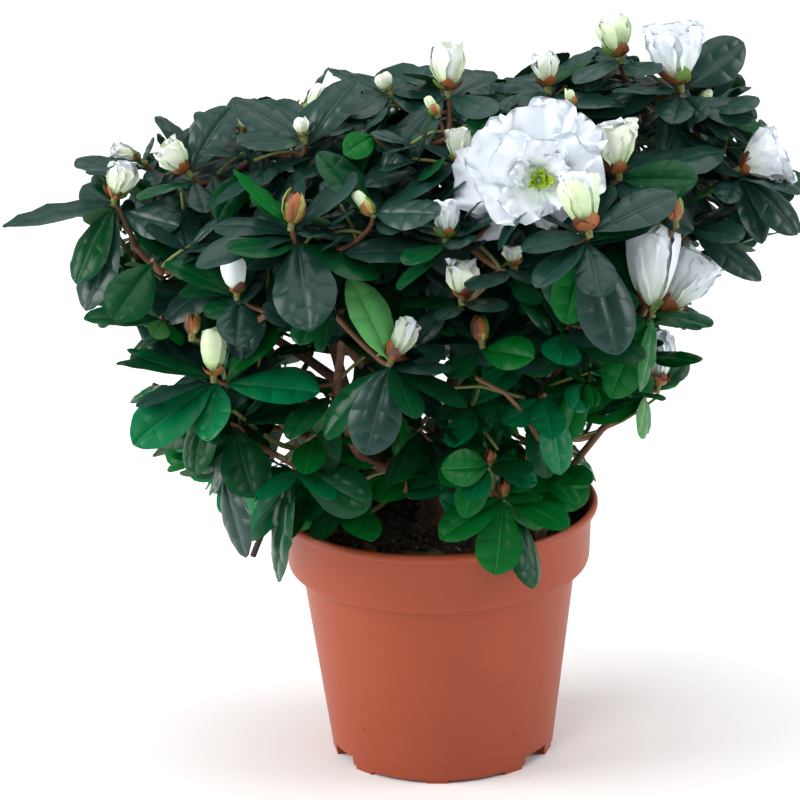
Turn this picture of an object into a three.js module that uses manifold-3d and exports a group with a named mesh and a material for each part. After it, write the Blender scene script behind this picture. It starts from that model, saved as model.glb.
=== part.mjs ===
// A florist's azalea in flower, in its round plastic pot.
// Millimetres, +Z up, the pot's foot at the origin, the front towards -Y.
import * as THREE from "three";
import { mergeVertices } from "three/addons/utils/BufferGeometryUtils.js";
import Module from "manifold-3d";

const wasm = await Module();
wasm.setup();

// Clearance kept between two pieces that touch on the real plant.
const GAP = 0.3;

// Pot
const POT_SIDES = 30;
const POT_HEIGHT = 106.1;
const POT_WALL = 1.6;
const POT_FLOOR = 4;
const RIM_RADIUS = 65;
const RIM_MOUTH_RADIUS = 63;
const LIP_DEPTH = 4.6;
const BAND_TOP_RADIUS = 62.3;
const BAND_FOOT_RADIUS = 61.3;
const BAND_FOOT_HEIGHT = 83;
const BAND_STEP_HEIGHT = 78.6;
const WALL_EDGE_RADIUS = 45;
const WALL_EDGE_HEIGHT = 1.1;
const WALL_FLARE = 0.1355;
const PAD_RADIUS = 35;
const CHANNEL_HEIGHT = 2.2;
const NOTCH_TURNS = [-64, 56, 176];
const NOTCH_WIDTH = 15;
const NOTCH_HEIGHT = 5.2;
const FOOT_OFFSETS = [-17, 17, 60];
const FOOT_WIDTH = 9;
const FOOT_DEPTH = 3;

// Compost
const SOIL_HEIGHT = 98;
const SOIL_DISH = 1.5;

// Trunk
const TRUNK_SIDES = 10;
const TRUNK_HEIGHT = 27;
const TRUNK_FOOT_RADIUS = 10;
const TRUNK_WAIST_RADIUS = 6.6;
const TRUNK_TIP_RADIUS = 5;
const FLARE_HEIGHT = 6;
const FLARE_LOBES = 5;
const FLARE_LOBE_DEPTH = 0.16;
const TRUNK_LEAN = new THREE.Vector3(-3, -1, 0);

// Boughs: radius where each leaves the wood below, and at its tip
const BOUGH_SIDES = 6;
const BOUGH_STEPS = 5;
const BOUGH_ROOT_RADIUS = 2.7;
const BOUGH_TIP_RADIUS = 1.8;
const UPPER_BOUGH_ROOT_RADIUS = 2.1;
const UPPER_BOUGH_TIP_RADIUS = 1.6;
const BOUGH_REACH = 0.66;

// The crown, as level rings: height, half width, sideways shift; its depth is a share of the width
const CROWN_RINGS = [
  { height: 78, half: 66, shift: -34 },
  { height: 110, half: 92, shift: -20 },
  { height: 130, half: 99, shift: -22 },
  { height: 150, half: 108, shift: -14 },
  { height: 175, half: 110, shift: -12 },
  { height: 195, half: 125, shift: -16 },
  { height: 220, half: 146, shift: -8 },
  { height: 250, half: 141, shift: 8 },
  { height: 277, half: 106, shift: 24 },
  { height: 295, half: 72, shift: 58 },
  { height: 308, half: 36, shift: 84 },
];
const CROWN_DEPTH = 0.86;
const BACK_FALL = 0.3;
const HEART_INSET = 0.62;

// Foliage masses: where each lies round the plant (0 is the front, 90 the right) and how high its heart is
const LOW_HEIGHT = 148;
const MID_HEIGHT = 212;
const TOP_HEIGHT = 268;
const MASSES = [
  { name: "low_left", turn: -62, height: LOW_HEIGHT },
  { name: "low_front", turn: 14, height: LOW_HEIGHT },
  { name: "low_right", turn: 78, height: LOW_HEIGHT + 6 },
  { name: "low_back_right", turn: 142, height: LOW_HEIGHT },
  { name: "low_back_left", turn: 218, height: LOW_HEIGHT },
  { name: "mid_left", turn: -80, height: MID_HEIGHT },
  { name: "mid_front_left", turn: -22, height: MID_HEIGHT },
  { name: "mid_front_right", turn: 42, height: MID_HEIGHT },
  { name: "mid_right", turn: 98, height: MID_HEIGHT + 8 },
  { name: "mid_back_right", turn: 156, height: MID_HEIGHT },
  { name: "mid_back_left", turn: 216, height: MID_HEIGHT },
  { name: "top_left", turn: -88, height: TOP_HEIGHT - 10 },
  { name: "top_front", turn: 4, height: TOP_HEIGHT },
  { name: "top_right", turn: 88, height: TOP_HEIGHT + 8 },
  { name: "top_back", turn: 184, height: TOP_HEIGHT },
];
const CELL_MARGIN = 0.22;

// Leaves, twigs and flowers
const LEAF_LENGTH = 43;
const LEAF_WIDTH = 0.6;
const LONGEST_LEAF = 46;
const LEAF_THICKNESS = 1.7;
const LEAF_ARCH = 0.06;
const LEAVES_ON_SHOOT = 5;
const LEAF_TURN = 137.5;
const LEAF_SPACING = 2.6;
const LEAF_OPEN_YOUNG = 46;
const LEAF_OPEN_UNDER_FLOWER = 76;
const LEAF_OPEN_OLD = 96;
const LEAF_JITTER = 12;
// Ways a leaf may swing round, lift and shorten, in turn, to stay clear of its neighbours
const LEAF_TRIES = [
  [0, 0, 1],
  [0.35, 0, 0.95],
  [-0.35, 0, 0.95],
  [0, -0.5, 0.85],
  [0.7, -0.3, 0.8],
  [-0.7, -0.3, 0.8],
  [0, -0.8, 0.7],
  [1.1, 0, 0.8],
  [-1.1, 0, 0.8],
  [0, 0.4, 0.8],
];
const TWIG_ROOT_RADIUS = 1.7;
const TWIG_TIP_RADIUS = 1.1;
const TWIG_STEPS = 2;
const TWIG_SIDES = 3;
const STEM_SIDES = 5;
const ROOT_SHARE = 0.16;
const PETALS = 5;
const PETAL_THICKNESS = 1.5;
const BLOOM_SIZES = {
  bud: { length: 16, radius: 4, sides: 4 },
  opening: { length: 27, radius: 7, sides: 5 },
  cup: { length: 29, radius: 23, sides: 10 },
  flower: { length: 26, radius: 31, sides: 15 },
};

// The viewpoint from which the shoots below were placed: its pitch, roll and scale on an 800-square frame
const FRAME_MIDDLE = 400;
const VIEW_DISTANCE = 2200;
const VIEW_PITCH = THREE.MathUtils.degToRad(19.33);
const VIEW_ROLL = THREE.MathUtils.degToRad(1.516);
const VIEW_SCALE = 2.487;
const VIEW_AIM = new THREE.Vector3(-14.03, 0, 148.82);

// Shoots seen from the front: the tip in the frame, the tips of its longest leaves, what it bears, and how
// deep it lies in the crown (1 is the crown's surface)
const SEEN_SHOOTS = [
  { tip: [112, 200], leaves: [[8, 232], [96, 300]], bears: "opening", depth: 1 },
  { tip: [142, 160], leaves: [[84, 168], [166, 236]], bears: "bud", depth: 1 },
  { tip: [186, 172], leaves: [[230, 110], [142, 222]], bears: "opening", depth: 1 },
  { tip: [240, 132], leaves: [[196, 112], [176, 128]], bears: "bud", depth: 1 },
  { tip: [298, 138], leaves: [[234, 100], [350, 86]], bears: "bud", depth: 1 },
  { tip: [290, 225], leaves: [[285, 330], [213, 225]], bears: "bud", depth: 1 },
  { tip: [372, 212], leaves: [[420, 250], [330, 170]], bears: "bud", depth: 0.9 },
  { tip: [236, 295], leaves: [[160, 300], [200, 250]], bears: "bud", depth: 0.9 },
  { tip: [212, 378], leaves: [[122, 440], [312, 392]], bears: "bud", depth: 1 },
  { tip: [150, 322], leaves: [[90, 318], [178, 350]], bears: "none", depth: 0.9 },
  { tip: [232, 440], leaves: [[243, 552], [190, 470]], bears: "none", depth: 0.95 },
  { tip: [276, 462], leaves: [[278, 578], [330, 490]], bears: "none", depth: 0.9 },
  { tip: [390, 362], leaves: [[374, 452], [350, 290]], bears: "bud", depth: 0.95 },
  { tip: [480, 335], leaves: [[558, 314], [440, 372]], bears: "bud", depth: 0.9 },
  { tip: [460, 300], leaves: [[416, 262], [500, 270]], bears: "opening", depth: 0.9 },
  { tip: [446, 240], leaves: [[410, 200], [400, 290]], bears: "bud", depth: 0.9 },
  { tip: [540, 196], leaves: [[460, 150], [480, 240]], bears: "flower", depth: 1 },
  { tip: [612, 178], leaves: [[664, 150], [570, 120]], bears: "opening", depth: 0.95 },
  { tip: [590, 232], leaves: [[612, 350], [672, 196]], bears: "bud", depth: 1 },
  { tip: [447, 92], leaves: [[385, 166], [496, 84]], bears: "bud", depth: 1 },
  { tip: [380, 96], leaves: [[340, 130], [330, 80]], bears: "bud", depth: 0.9 },
  { tip: [545, 86], leaves: [[500, 120], [590, 110]], bears: "bud", depth: 0.9 },
  { tip: [620, 58], leaves: [[580, 96], [660, 100]], bears: "bud", depth: 1 },
  { tip: [682, 86], leaves: [[745, 62], [730, 130]], bears: "cup", depth: 1 },
  { tip: [738, 168], leaves: [[796, 236], [766, 244]], bears: "cup", depth: 1 },
  { tip: [654, 308], leaves: [[760, 284], [711, 332]], bears: "cup", depth: 1 },
  { tip: [640, 352], leaves: [[700, 364], [600, 400]], bears: "none", depth: 0.9 },
  { tip: [620, 398], leaves: [[645, 440], [580, 440]], bears: "none", depth: 0.8 },
  { tip: [500, 500], leaves: [[502, 577], [568, 530], [442, 530]], bears: "bud", depth: 0.95 },
  { tip: [458, 160], leaves: [[420, 140], [500, 150]], bears: "bud", depth: 0.85 },
  { tip: [515, 268], leaves: [[556, 256], [470, 290]], bears: "bud", depth: 0.9 },
  { tip: [330, 300], leaves: [[372, 330], [300, 340]], bears: "none", depth: 0.85 },
  { tip: [700, 215], leaves: [[765, 200], [720, 262]], bears: "none", depth: 0.9 },
  { tip: [560, 415], leaves: [[572, 478], [520, 440]], bears: "none", depth: 0.9 },
  { tip: [545, 470], leaves: [[592, 478], [520, 590]], bears: "none", depth: 0.86 },
  { tip: [345, 470], leaves: [[362, 540], [300, 500]], bears: "none", depth: 0.72 },
  { tip: [470, 440], leaves: [[440, 478], [520, 420]], bears: "bud", depth: 0.8 },
  { tip: [330, 395], leaves: [[290, 440], [368, 440]], bears: "none", depth: 0.85 },
];

// The flowers that flare, so that the leaves under them lie flatter
const FLARING = ["cup", "flower"];

// Shoots on the sides and the back, spread evenly by the golden angle
const SPREAD_TRIES = 150;
const SPREAD_LOW = 118;
const SPREAD_HIGH = 286;
const SPREAD_APART = 30;
const SPREAD_DEPTHS = [0.92, 0.84, 0.74];
const SPREAD_BEARS = ["none", "opening", "none", "none", "cup", "none", "opening", "none", "flower", "none"];
const FRONT_LOW_LIMIT = 168;
const BEHIND = 25;

const UP = new THREE.Vector3(0, 0, 1);

// A repeatable stream of numbers from 0 to 1
function seeded(seed) {
  let state = seed >>> 0;
  return () => {
    state = (state + 0x6d2b79f5) >>> 0;
    let mix = Math.imul(state ^ (state >>> 15), state | 1);
    mix ^= mix + Math.imul(mix ^ (mix >>> 7), mix | 61);
    return ((mix ^ (mix >>> 14)) >>> 0) / 4294967296;
  };
}

function blend(low, high, share) {
  return low + (high - low) * share;
}

function clampShare(value, low, high) {
  return THREE.MathUtils.clamp((value - low) / (high - low), 0, 1);
}

// A point round the plant: turn 0 is the front, 90 the right
function around(turn, radius, height) {
  const angle = THREE.MathUtils.degToRad(turn);
  return new THREE.Vector3(radius * Math.sin(angle), -radius * Math.cos(angle), height);
}

// The crown's half width and sideways shift at a height
function crownAt(height) {
  const last = CROWN_RINGS.length - 1;
  const above = CROWN_RINGS.findIndex((ring) => ring.height >= height);
  if (above === 0) return CROWN_RINGS[0];
  if (above < 0) return CROWN_RINGS[last];
  const low = CROWN_RINGS[above - 1];
  const high = CROWN_RINGS[above];
  const share = (height - low.height) / (high.height - low.height);
  return { half: blend(low.half, high.half, share), shift: blend(low.shift, high.shift, share) };
}

function onCrown(turn, height, depth) {
  const ring = crownAt(height);
  const point = around(turn, ring.half * depth, height);
  point.y *= CROWN_DEPTH;
  point.x += ring.shift;
  point.z -= BACK_FALL * Math.max(point.y, 0) * blend(0, 1, clampShare(height, SPREAD_LOW, MID_HEIGHT));
  return point;
}

// How far out a point lies, as a share of the crown there
function crownShare(point) {
  const ring = crownAt(point.z);
  return Math.hypot((point.x - ring.shift) / ring.half, point.y / (ring.half * CROWN_DEPTH));
}

const VIEW_AHEAD = new THREE.Vector3(0, Math.cos(VIEW_PITCH), -Math.sin(VIEW_PITCH));
const LEVEL_UP = new THREE.Vector3(0, Math.sin(VIEW_PITCH), Math.cos(VIEW_PITCH));
const VIEW_RIGHT = new THREE.Vector3(1, 0, 0)
  .multiplyScalar(Math.cos(VIEW_ROLL))
  .addScaledVector(LEVEL_UP, -Math.sin(VIEW_ROLL));
const VIEW_UP = LEVEL_UP.clone()
  .multiplyScalar(Math.cos(VIEW_ROLL))
  .addScaledVector(new THREE.Vector3(1, 0, 0), Math.sin(VIEW_ROLL));
const VIEW_EYE = VIEW_AIM.clone().addScaledVector(VIEW_AHEAD, -VIEW_DISTANCE);

function frameRay([across, down]) {
  const reach = VIEW_SCALE * VIEW_DISTANCE;
  return VIEW_AHEAD.clone()
    .addScaledVector(VIEW_RIGHT, (across - FRAME_MIDDLE) / reach)
    .addScaledVector(VIEW_UP, (FRAME_MIDDLE - down) / reach);
}

function pointOnRay(ray, y) {
  return VIEW_EYE.clone().addScaledVector(ray, (y - VIEW_EYE.y) / ray.y);
}

// The place in the crown, at a depth, that a point of the frame looks at
function placeInCrown(framePoint, depth) {
  const ray = frameRay(framePoint);
  let nearest = null;
  for (let y = -150; y <= 90; y += 2) {
    const point = pointOnRay(ray, y);
    const share = crownShare(point);
    if (share <= depth) return point;
    if (!nearest || share < nearest.share) nearest = { point, share };
  }
  return nearest.point;
}

function facesToGeometry(vertices, triangles) {
  const geometry = new THREE.BufferGeometry();
  const places = new Float32Array(vertices.flatMap((v) => [v.x, v.y, v.z]));
  geometry.setAttribute("position", new THREE.BufferAttribute(places, 3));
  geometry.setIndex(triangles.flat());
  return geometry;
}

function toSolid(geometry) {
  const bare = geometry.clone();
  bare.deleteAttribute("normal");
  bare.deleteAttribute("uv");
  const merged = mergeVertices(bare, 1e-3);
  const vertProperties = new Float32Array(merged.attributes.position.array);
  const triVerts = new Uint32Array(merged.index.array);
  return new wasm.Manifold(new wasm.Mesh({ numProp: 3, vertProperties, triVerts }));
}

function toGeometry(solid) {
  const mesh = solid.getMesh();
  const places = new Float32Array(mesh.numVert * 3);
  for (let i = 0; i < mesh.numVert; i++) {
    places.set(mesh.vertProperties.subarray(i * mesh.numProp, i * mesh.numProp + 3), i * 3);
  }
  const geometry = new THREE.BufferGeometry();
  geometry.setAttribute("position", new THREE.BufferAttribute(places, 3));
  geometry.setIndex(new THREE.BufferAttribute(new Uint32Array(mesh.triVerts), 1));
  return geometry;
}

// The largest piece left once vertices that lie almost together are one
function largestPiece(solid) {
  const pieces = toSolid(toGeometry(solid)).decompose();
  pieces.sort((a, b) => b.volume() - a.volume());
  return pieces[0];
}

// A round form from a profile of [radius, height] points that starts and ends on the axis
function turned(profile, sides) {
  const points = profile.map(([radius, height]) => new THREE.Vector2(radius, height));
  return new THREE.LatheGeometry(points, sides).rotateX(Math.PI / 2);
}

// Two directions square to an axis
function acrossFrom(axis) {
  const helper = Math.abs(axis.z) < 0.9 ? UP : new THREE.Vector3(1, 0, 0);
  const first = new THREE.Vector3().crossVectors(helper, axis).normalize();
  const second = new THREE.Vector3().crossVectors(axis, first).normalize();
  return [first, second];
}

// A tapering limb along a path of points, with a radius at each, closed at both ends
function limb(path, radii, sides) {
  const vertices = [];
  const triangles = [];
  let [first] = acrossFrom(path[1].clone().sub(path[0]).normalize());
  path.forEach((point, step) => {
    const before = path[Math.max(step - 1, 0)];
    const after = path[Math.min(step + 1, path.length - 1)];
    const along = after.clone().sub(before).normalize();
    first = first.addScaledVector(along, -first.dot(along)).normalize();
    const second = new THREE.Vector3().crossVectors(along, first);
    for (let side = 0; side < sides; side++) {
      const angle = (2 * Math.PI * side) / sides;
      const spoke = first.clone().multiplyScalar(Math.cos(angle)).addScaledVector(second, Math.sin(angle));
      vertices.push(point.clone().addScaledVector(spoke, radii[step]));
    }
  });
  for (let step = 0; step < path.length - 1; step++) {
    for (let side = 0; side < sides; side++) {
      const next = (side + 1) % sides;
      const a = step * sides + side;
      const b = step * sides + next;
      triangles.push([a, b, b + sides], [a, b + sides, a + sides]);
    }
  }
  const end = (path.length - 1) * sides;
  for (let side = 1; side < sides - 1; side++) {
    triangles.push([0, side + 1, side], [end, end + side, end + side + 1]);
  }
  return toSolid(facesToGeometry(vertices, triangles));
}

function curvePoints(from, bend, to, steps) {
  return new THREE.QuadraticBezierCurve3(from, bend, to).getPoints(steps);
}

function taper(from, to, count) {
  return Array.from({ length: count }, (_, step) => blend(from, to, step / (count - 1)));
}

// Pot

function wallRadius(height) {
  return WALL_EDGE_RADIUS + WALL_FLARE * (height - WALL_EDGE_HEIGHT);
}

// The outside of the pot from the wall's lower edge to the top of the lip
function potOutside() {
  const lipFoot = POT_HEIGHT - LIP_DEPTH;
  return [
    [WALL_EDGE_RADIUS, WALL_EDGE_HEIGHT],
    [wallRadius(BAND_STEP_HEIGHT), BAND_STEP_HEIGHT],
    [BAND_FOOT_RADIUS - 2.2, BAND_STEP_HEIGHT + 0.5],
    [BAND_FOOT_RADIUS - 0.5, BAND_STEP_HEIGHT + 2],
    [BAND_FOOT_RADIUS, BAND_FOOT_HEIGHT],
    [BAND_TOP_RADIUS, lipFoot],
    [RIM_RADIUS - 1, lipFoot + 0.4],
    [RIM_RADIUS, lipFoot + 1.6],
    [RIM_RADIUS, POT_HEIGHT - 1.4],
    [RIM_RADIUS - 0.8, POT_HEIGHT - 0.2],
  ];
}

// The inside of the pot from the top of the lip to the floor
function potInside() {
  return [
    [RIM_MOUTH_RADIUS, POT_HEIGHT],
    [RIM_MOUTH_RADIUS - 1.2, POT_HEIGHT - 2],
    [BAND_TOP_RADIUS - POT_WALL, POT_HEIGHT - LIP_DEPTH - 1],
    [BAND_FOOT_RADIUS - POT_WALL, BAND_FOOT_HEIGHT],
    [wallRadius(BAND_STEP_HEIGHT) - POT_WALL + 0.6, BAND_STEP_HEIGHT + POT_WALL],
    [wallRadius(POT_FLOOR) - POT_WALL, POT_FLOOR],
  ];
}

function pot() {
  const profile = [
    [0, 0],
    [PAD_RADIUS, 0],
    [PAD_RADIUS + 1.2, CHANNEL_HEIGHT],
    [WALL_EDGE_RADIUS - 3, CHANNEL_HEIGHT],
    [WALL_EDGE_RADIUS - POT_WALL, WALL_EDGE_HEIGHT],
    ...potOutside(),
    ...potInside(),
    [0, POT_FLOOR],
  ];
  let body = toSolid(turned(profile, POT_SIDES));
  for (const turn of NOTCH_TURNS) {
    const notch = new THREE.BoxGeometry(NOTCH_WIDTH, 12, NOTCH_HEIGHT * 2);
    notch.translate(0, -WALL_EDGE_RADIUS - 2, 0);
    notch.rotateZ(THREE.MathUtils.degToRad(turn));
    body = body.subtract(toSolid(notch));
  }
  for (const turn of NOTCH_TURNS) {
    for (const offset of FOOT_OFFSETS) {
      const foot = new THREE.BoxGeometry(FOOT_WIDTH, FOOT_DEPTH, CHANNEL_HEIGHT + 0.6);
      foot.translate(0, -WALL_EDGE_RADIUS + FOOT_DEPTH / 2 + 0.5, (CHANNEL_HEIGHT + 0.6) / 2);
      foot.rotateZ(THREE.MathUtils.degToRad(turn + offset));
      body = body.add(toSolid(foot));
    }
  }
  return body;
}

// The compost fills the pot, a little clear of its wall, with a shallow dished top
function rootBall() {
  const inside = potInside()
    .filter(([, height]) => height < SOIL_HEIGHT)
    .map(([radius, height]) => [radius - GAP, height])
    .reverse();
  const edge = BAND_TOP_RADIUS - POT_WALL - GAP - 0.4;
  const profile = [
    [0, POT_FLOOR + GAP],
    [inside[0][0], POT_FLOOR + GAP],
    ...inside.slice(1),
    [edge, SOIL_HEIGHT - SOIL_DISH],
    [edge * 0.72, SOIL_HEIGHT - 0.4],
    [TRUNK_FOOT_RADIUS * 2, SOIL_HEIGHT],
    [0, SOIL_HEIGHT],
  ];
  return toSolid(turned(profile, POT_SIDES));
}

// The whole pot as one filled form, a little larger, for leaves to keep clear of
function potRadiusAt(height) {
  const outside = potOutside();
  if (height > POT_HEIGHT || height < 0) return 0;
  const above = outside.findIndex(([, z]) => z >= height);
  if (above < 0) return RIM_RADIUS;
  if (above === 0) return outside[0][0];
  const [lowRadius, lowHeight] = outside[above - 1];
  const [highRadius, highHeight] = outside[above];
  return blend(lowRadius, highRadius, (height - lowHeight) / (highHeight - lowHeight));
}

const POT_CLEARANCE = 1.5;

function clearOfPot(point) {
  const overRim = point.z > POT_HEIGHT + POT_CLEARANCE;
  return overRim || Math.hypot(point.x, point.y) > potRadiusAt(point.z) + POT_CLEARANCE;
}

// Trunk

const TRUNK_FOOT = SOIL_HEIGHT + GAP;

function trunkCentre(height) {
  const share = (height - TRUNK_FOOT) / TRUNK_HEIGHT;
  return TRUNK_LEAN.clone().multiplyScalar(share).setZ(height);
}

function trunkRadius(height) {
  const rise = height - TRUNK_FOOT;
  if (rise < FLARE_HEIGHT) {
    const share = 1 - rise / FLARE_HEIGHT;
    return blend(TRUNK_WAIST_RADIUS, TRUNK_FOOT_RADIUS, share * share);
  }
  const share = (rise - FLARE_HEIGHT) / (TRUNK_HEIGHT - FLARE_HEIGHT);
  return blend(TRUNK_WAIST_RADIUS, TRUNK_TIP_RADIUS, share);
}

// The trunk: a flat foot, lobed root flare, slight lean and a blunt fork
function trunk(extra) {
  const rises = [0, 1.5, 3, FLARE_HEIGHT, 14, 21, TRUNK_HEIGHT - 2, TRUNK_HEIGHT];
  const shrink = [1, 1, 1, 1, 1, 1, 0.94, 0.6];
  const vertices = [];
  const triangles = [];
  rises.forEach((rise, step) => {
    const height = TRUNK_FOOT + rise;
    const centre = trunkCentre(height);
    const flare = Math.max(0, 1 - rise / FLARE_HEIGHT);
    for (let side = 0; side < TRUNK_SIDES; side++) {
      const angle = (2 * Math.PI * side) / TRUNK_SIDES;
      const lobe = 1 + FLARE_LOBE_DEPTH * flare * Math.cos(FLARE_LOBES * angle);
      const radius = trunkRadius(height) * shrink[step] * lobe + extra;
      const lift = step === rises.length - 1 ? extra : 0;
      const spoke = new THREE.Vector3(Math.cos(angle), Math.sin(angle), 0);
      vertices.push(centre.clone().addScaledVector(spoke, radius).addScaledVector(UP, lift));
    }
  });
  for (let step = 0; step < rises.length - 1; step++) {
    for (let side = 0; side < TRUNK_SIDES; side++) {
      const next = (side + 1) % TRUNK_SIDES;
      const a = step * TRUNK_SIDES + side;
      const b = step * TRUNK_SIDES + next;
      triangles.push([a, b, b + TRUNK_SIDES], [a, b + TRUNK_SIDES, a + TRUNK_SIDES]);
    }
  }
  const top = (rises.length - 1) * TRUNK_SIDES;
  for (let side = 1; side < TRUNK_SIDES - 1; side++) {
    triangles.push([0, side + 1, side], [top, top + side, top + side + 1]);
  }
  return toSolid(facesToGeometry(vertices, triangles));
}

// Masses and the boughs that carry them

function heartOf(mass) {
  return onCrown(mass.turn, mass.height, HEART_INSET);
}

// Signed distance past the nearest wall of a mass's own space: below zero is inside
function pastCell(point, mass) {
  let worst = -Infinity;
  for (const other of MASSES) {
    if (other === mass) continue;
    const away = other.heart.clone().sub(mass.heart);
    const span = away.length();
    const past = point.clone().sub(mass.heart).dot(away) / span - span / 2;
    worst = Math.max(worst, past);
  }
  return worst + CELL_MARGIN;
}

function ownerOf(point) {
  let best = MASSES[0];
  for (const mass of MASSES) {
    if (point.distanceTo(mass.heart) < point.distanceTo(best.heart)) best = mass;
  }
  return best;
}

// Low and middle boughs leave the trunk in two rings; a top bough leaves the middle bough nearest to it
function boughPath(mass, tier, index) {
  const rise = tier === "low" ? 9 + 3 * (index % 2) : 18 + 4 * (index % 2);
  const height = TRUNK_FOOT + rise;
  const root = trunkCentre(height);
  const out = mass.heart.clone().sub(root);
  const flat = new THREE.Vector3(out.x, out.y, 0).normalize();
  const leave = tier === "low" ? 0.75 : 1.5;
  const bend = root.clone().addScaledVector(flat, 24).addScaledVector(UP, 24 * leave);
  const tip = root.clone().addScaledVector(out, BOUGH_REACH);
  tip.z += tier === "low" ? 6 : 0;
  return curvePoints(root, bend, tip, BOUGH_STEPS);
}

function upperBoughPath(mass, parent) {
  const root = parent.path[3].clone();
  const out = mass.heart.clone().sub(root);
  const bend = root.clone().addScaledVector(out, 0.35).addScaledVector(UP, 10);
  const tip = root.clone().addScaledVector(out, BOUGH_REACH + 0.04);
  return curvePoints(root, bend, tip, BOUGH_STEPS);
}

function distanceToPath(point, path) {
  let nearest = Infinity;
  const line = new THREE.Line3();
  const close = new THREE.Vector3();
  for (let step = 0; step < path.length - 1; step++) {
    line.set(path[step], path[step + 1]);
    line.closestPointToPoint(point, true, close);
    nearest = Math.min(nearest, close.distanceTo(point));
  }
  return nearest;
}

function clearOfLimbs(point, room) {
  if (point.z < TRUNK_FOOT + TRUNK_HEIGHT + 2) {
    const centre = trunkCentre(Math.max(point.z, TRUNK_FOOT));
    if (Math.hypot(point.x - centre.x, point.y - centre.y) < TRUNK_FOOT_RADIUS + room) return false;
  }
  return boughs.every((bough) => distanceToPath(point, bough.path) > BOUGH_ROOT_RADIUS + room);
}

// Shoots

function outwardAt(point) {
  const ring = crownAt(point.z);
  const flat = new THREE.Vector3(point.x - ring.shift, point.y, 0);
  return flat.lengthSq() > 0 ? flat.normalize() : new THREE.Vector3(0, -1, 0);
}

// A shoot points outwards and up: more outwards low on the crown, more upwards at its top
function shootAxis(point) {
  const rise = clampShare(point.z, SPREAD_LOW, SPREAD_HIGH);
  const out = outwardAt(point).multiplyScalar(blend(1, 0.35, rise));
  return out.addScaledVector(UP, blend(0.3, 0.9, rise)).normalize();
}

function seenShoots() {
  return SEEN_SHOOTS.map((row, index) => {
    const tip = placeInCrown(row.tip, row.depth);
    const aims = row.leaves.map((leaf) => pointOnRay(frameRay(leaf), tip.y).sub(tip));
    return { tip, aims, bears: row.bears, seed: 100 + index };
  });
}

function spreadShoots(taken) {
  const made = [];
  for (let index = 0; index < SPREAD_TRIES; index++) {
    const random = seeded(4000 + index);
    const height = blend(SPREAD_LOW, SPREAD_HIGH, (index + random()) / SPREAD_TRIES);
    const turn = index * LEAF_TURN;
    const tip = onCrown(turn, height, SPREAD_DEPTHS[index % SPREAD_DEPTHS.length]);
    const frontFacing = tip.y < -10;
    if (frontFacing && height < FRONT_LOW_LIMIT) continue;
    const crowded = [...taken, ...made].some((shoot) => shoot.tip.distanceTo(tip) < SPREAD_APART);
    if (crowded) continue;
    const behind = tip.y > BEHIND && tip.z > FRONT_LOW_LIMIT;
    const bears = behind ? SPREAD_BEARS[made.length % SPREAD_BEARS.length] : "none";
    made.push({ tip, aims: [], bears, seed: 500 + index });
  }
  return made;
}

// A leaf: root and tip, two edge points, and a ridge above and a keel below, eight faces in all
function leafSolid(root, tip, face) {
  const along = tip.clone().sub(root);
  const length = along.length();
  const side = new THREE.Vector3().crossVectors(along, face).normalize();
  const over = new THREE.Vector3().crossVectors(side, along).normalize();
  const middle = root.clone().addScaledVector(along, 0.56).addScaledVector(over, LEAF_ARCH * length);
  const ridge = root.clone().addScaledVector(along, 0.4).addScaledVector(over, LEAF_ARCH * length);
  const vertices = [
    root,
    tip,
    middle.clone().addScaledVector(side, (LEAF_WIDTH * length) / 2),
    middle.clone().addScaledVector(side, (-LEAF_WIDTH * length) / 2),
    ridge.clone().addScaledVector(over, LEAF_THICKNESS * 0.5),
    ridge.clone().addScaledVector(over, -LEAF_THICKNESS * 0.5),
  ];
  const triangles = [
    [0, 2, 4],
    [2, 1, 4],
    [1, 3, 4],
    [3, 0, 4],
    [2, 0, 5],
    [1, 2, 5],
    [3, 1, 5],
    [0, 3, 5],
  ];
  return { solid: toSolid(facesToGeometry(vertices, triangles)), vertices };
}

function leafDirection(axis, first, second, turn, open, droop) {
  const spoke = first.clone().multiplyScalar(Math.cos(turn)).addScaledVector(second, Math.sin(turn));
  const direction = axis.clone().multiplyScalar(Math.cos(open)).addScaledVector(spoke, Math.sin(open));
  direction.z -= droop;
  return direction.normalize();
}

// Whether an edge of one leaf passes through the blade of another, their roots aside
function pierces(leaf, other) {
  const [root, tip, left, right] = leaf;
  const [otherRoot, otherTip, otherLeft, otherRight] = other;
  const hit = new THREE.Vector3();
  const collar = root.clone().lerp(tip, ROOT_SHARE);
  const edges = [
    [root.clone().lerp(left, ROOT_SHARE), left],
    [root.clone().lerp(right, ROOT_SHARE), right],
    [left, tip],
    [right, tip],
    [collar, tip],
  ];
  return edges.some(([from, to]) => {
    const span = from.distanceTo(to);
    const ray = new THREE.Ray(from, to.clone().sub(from).divideScalar(span));
    const first = ray.intersectTriangle(otherRoot, otherLeft, otherTip, false, hit);
    if (first && first.distanceTo(from) < span) return true;
    const second = ray.intersectTriangle(otherRoot, otherTip, otherRight, false, hit);
    return Boolean(second) && second.distanceTo(from) < span;
  });
}

function insideBloom(point, bloom) {
  const rise = point.clone().sub(bloom.root).dot(bloom.axis);
  if (rise < 0 || rise > bloom.length + 1) return false;
  const off = point.clone().sub(bloom.root).addScaledVector(bloom.axis, -rise).length();
  return off < bloom.radius * Math.max(0.3, rise / bloom.length) + 1;
}

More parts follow.
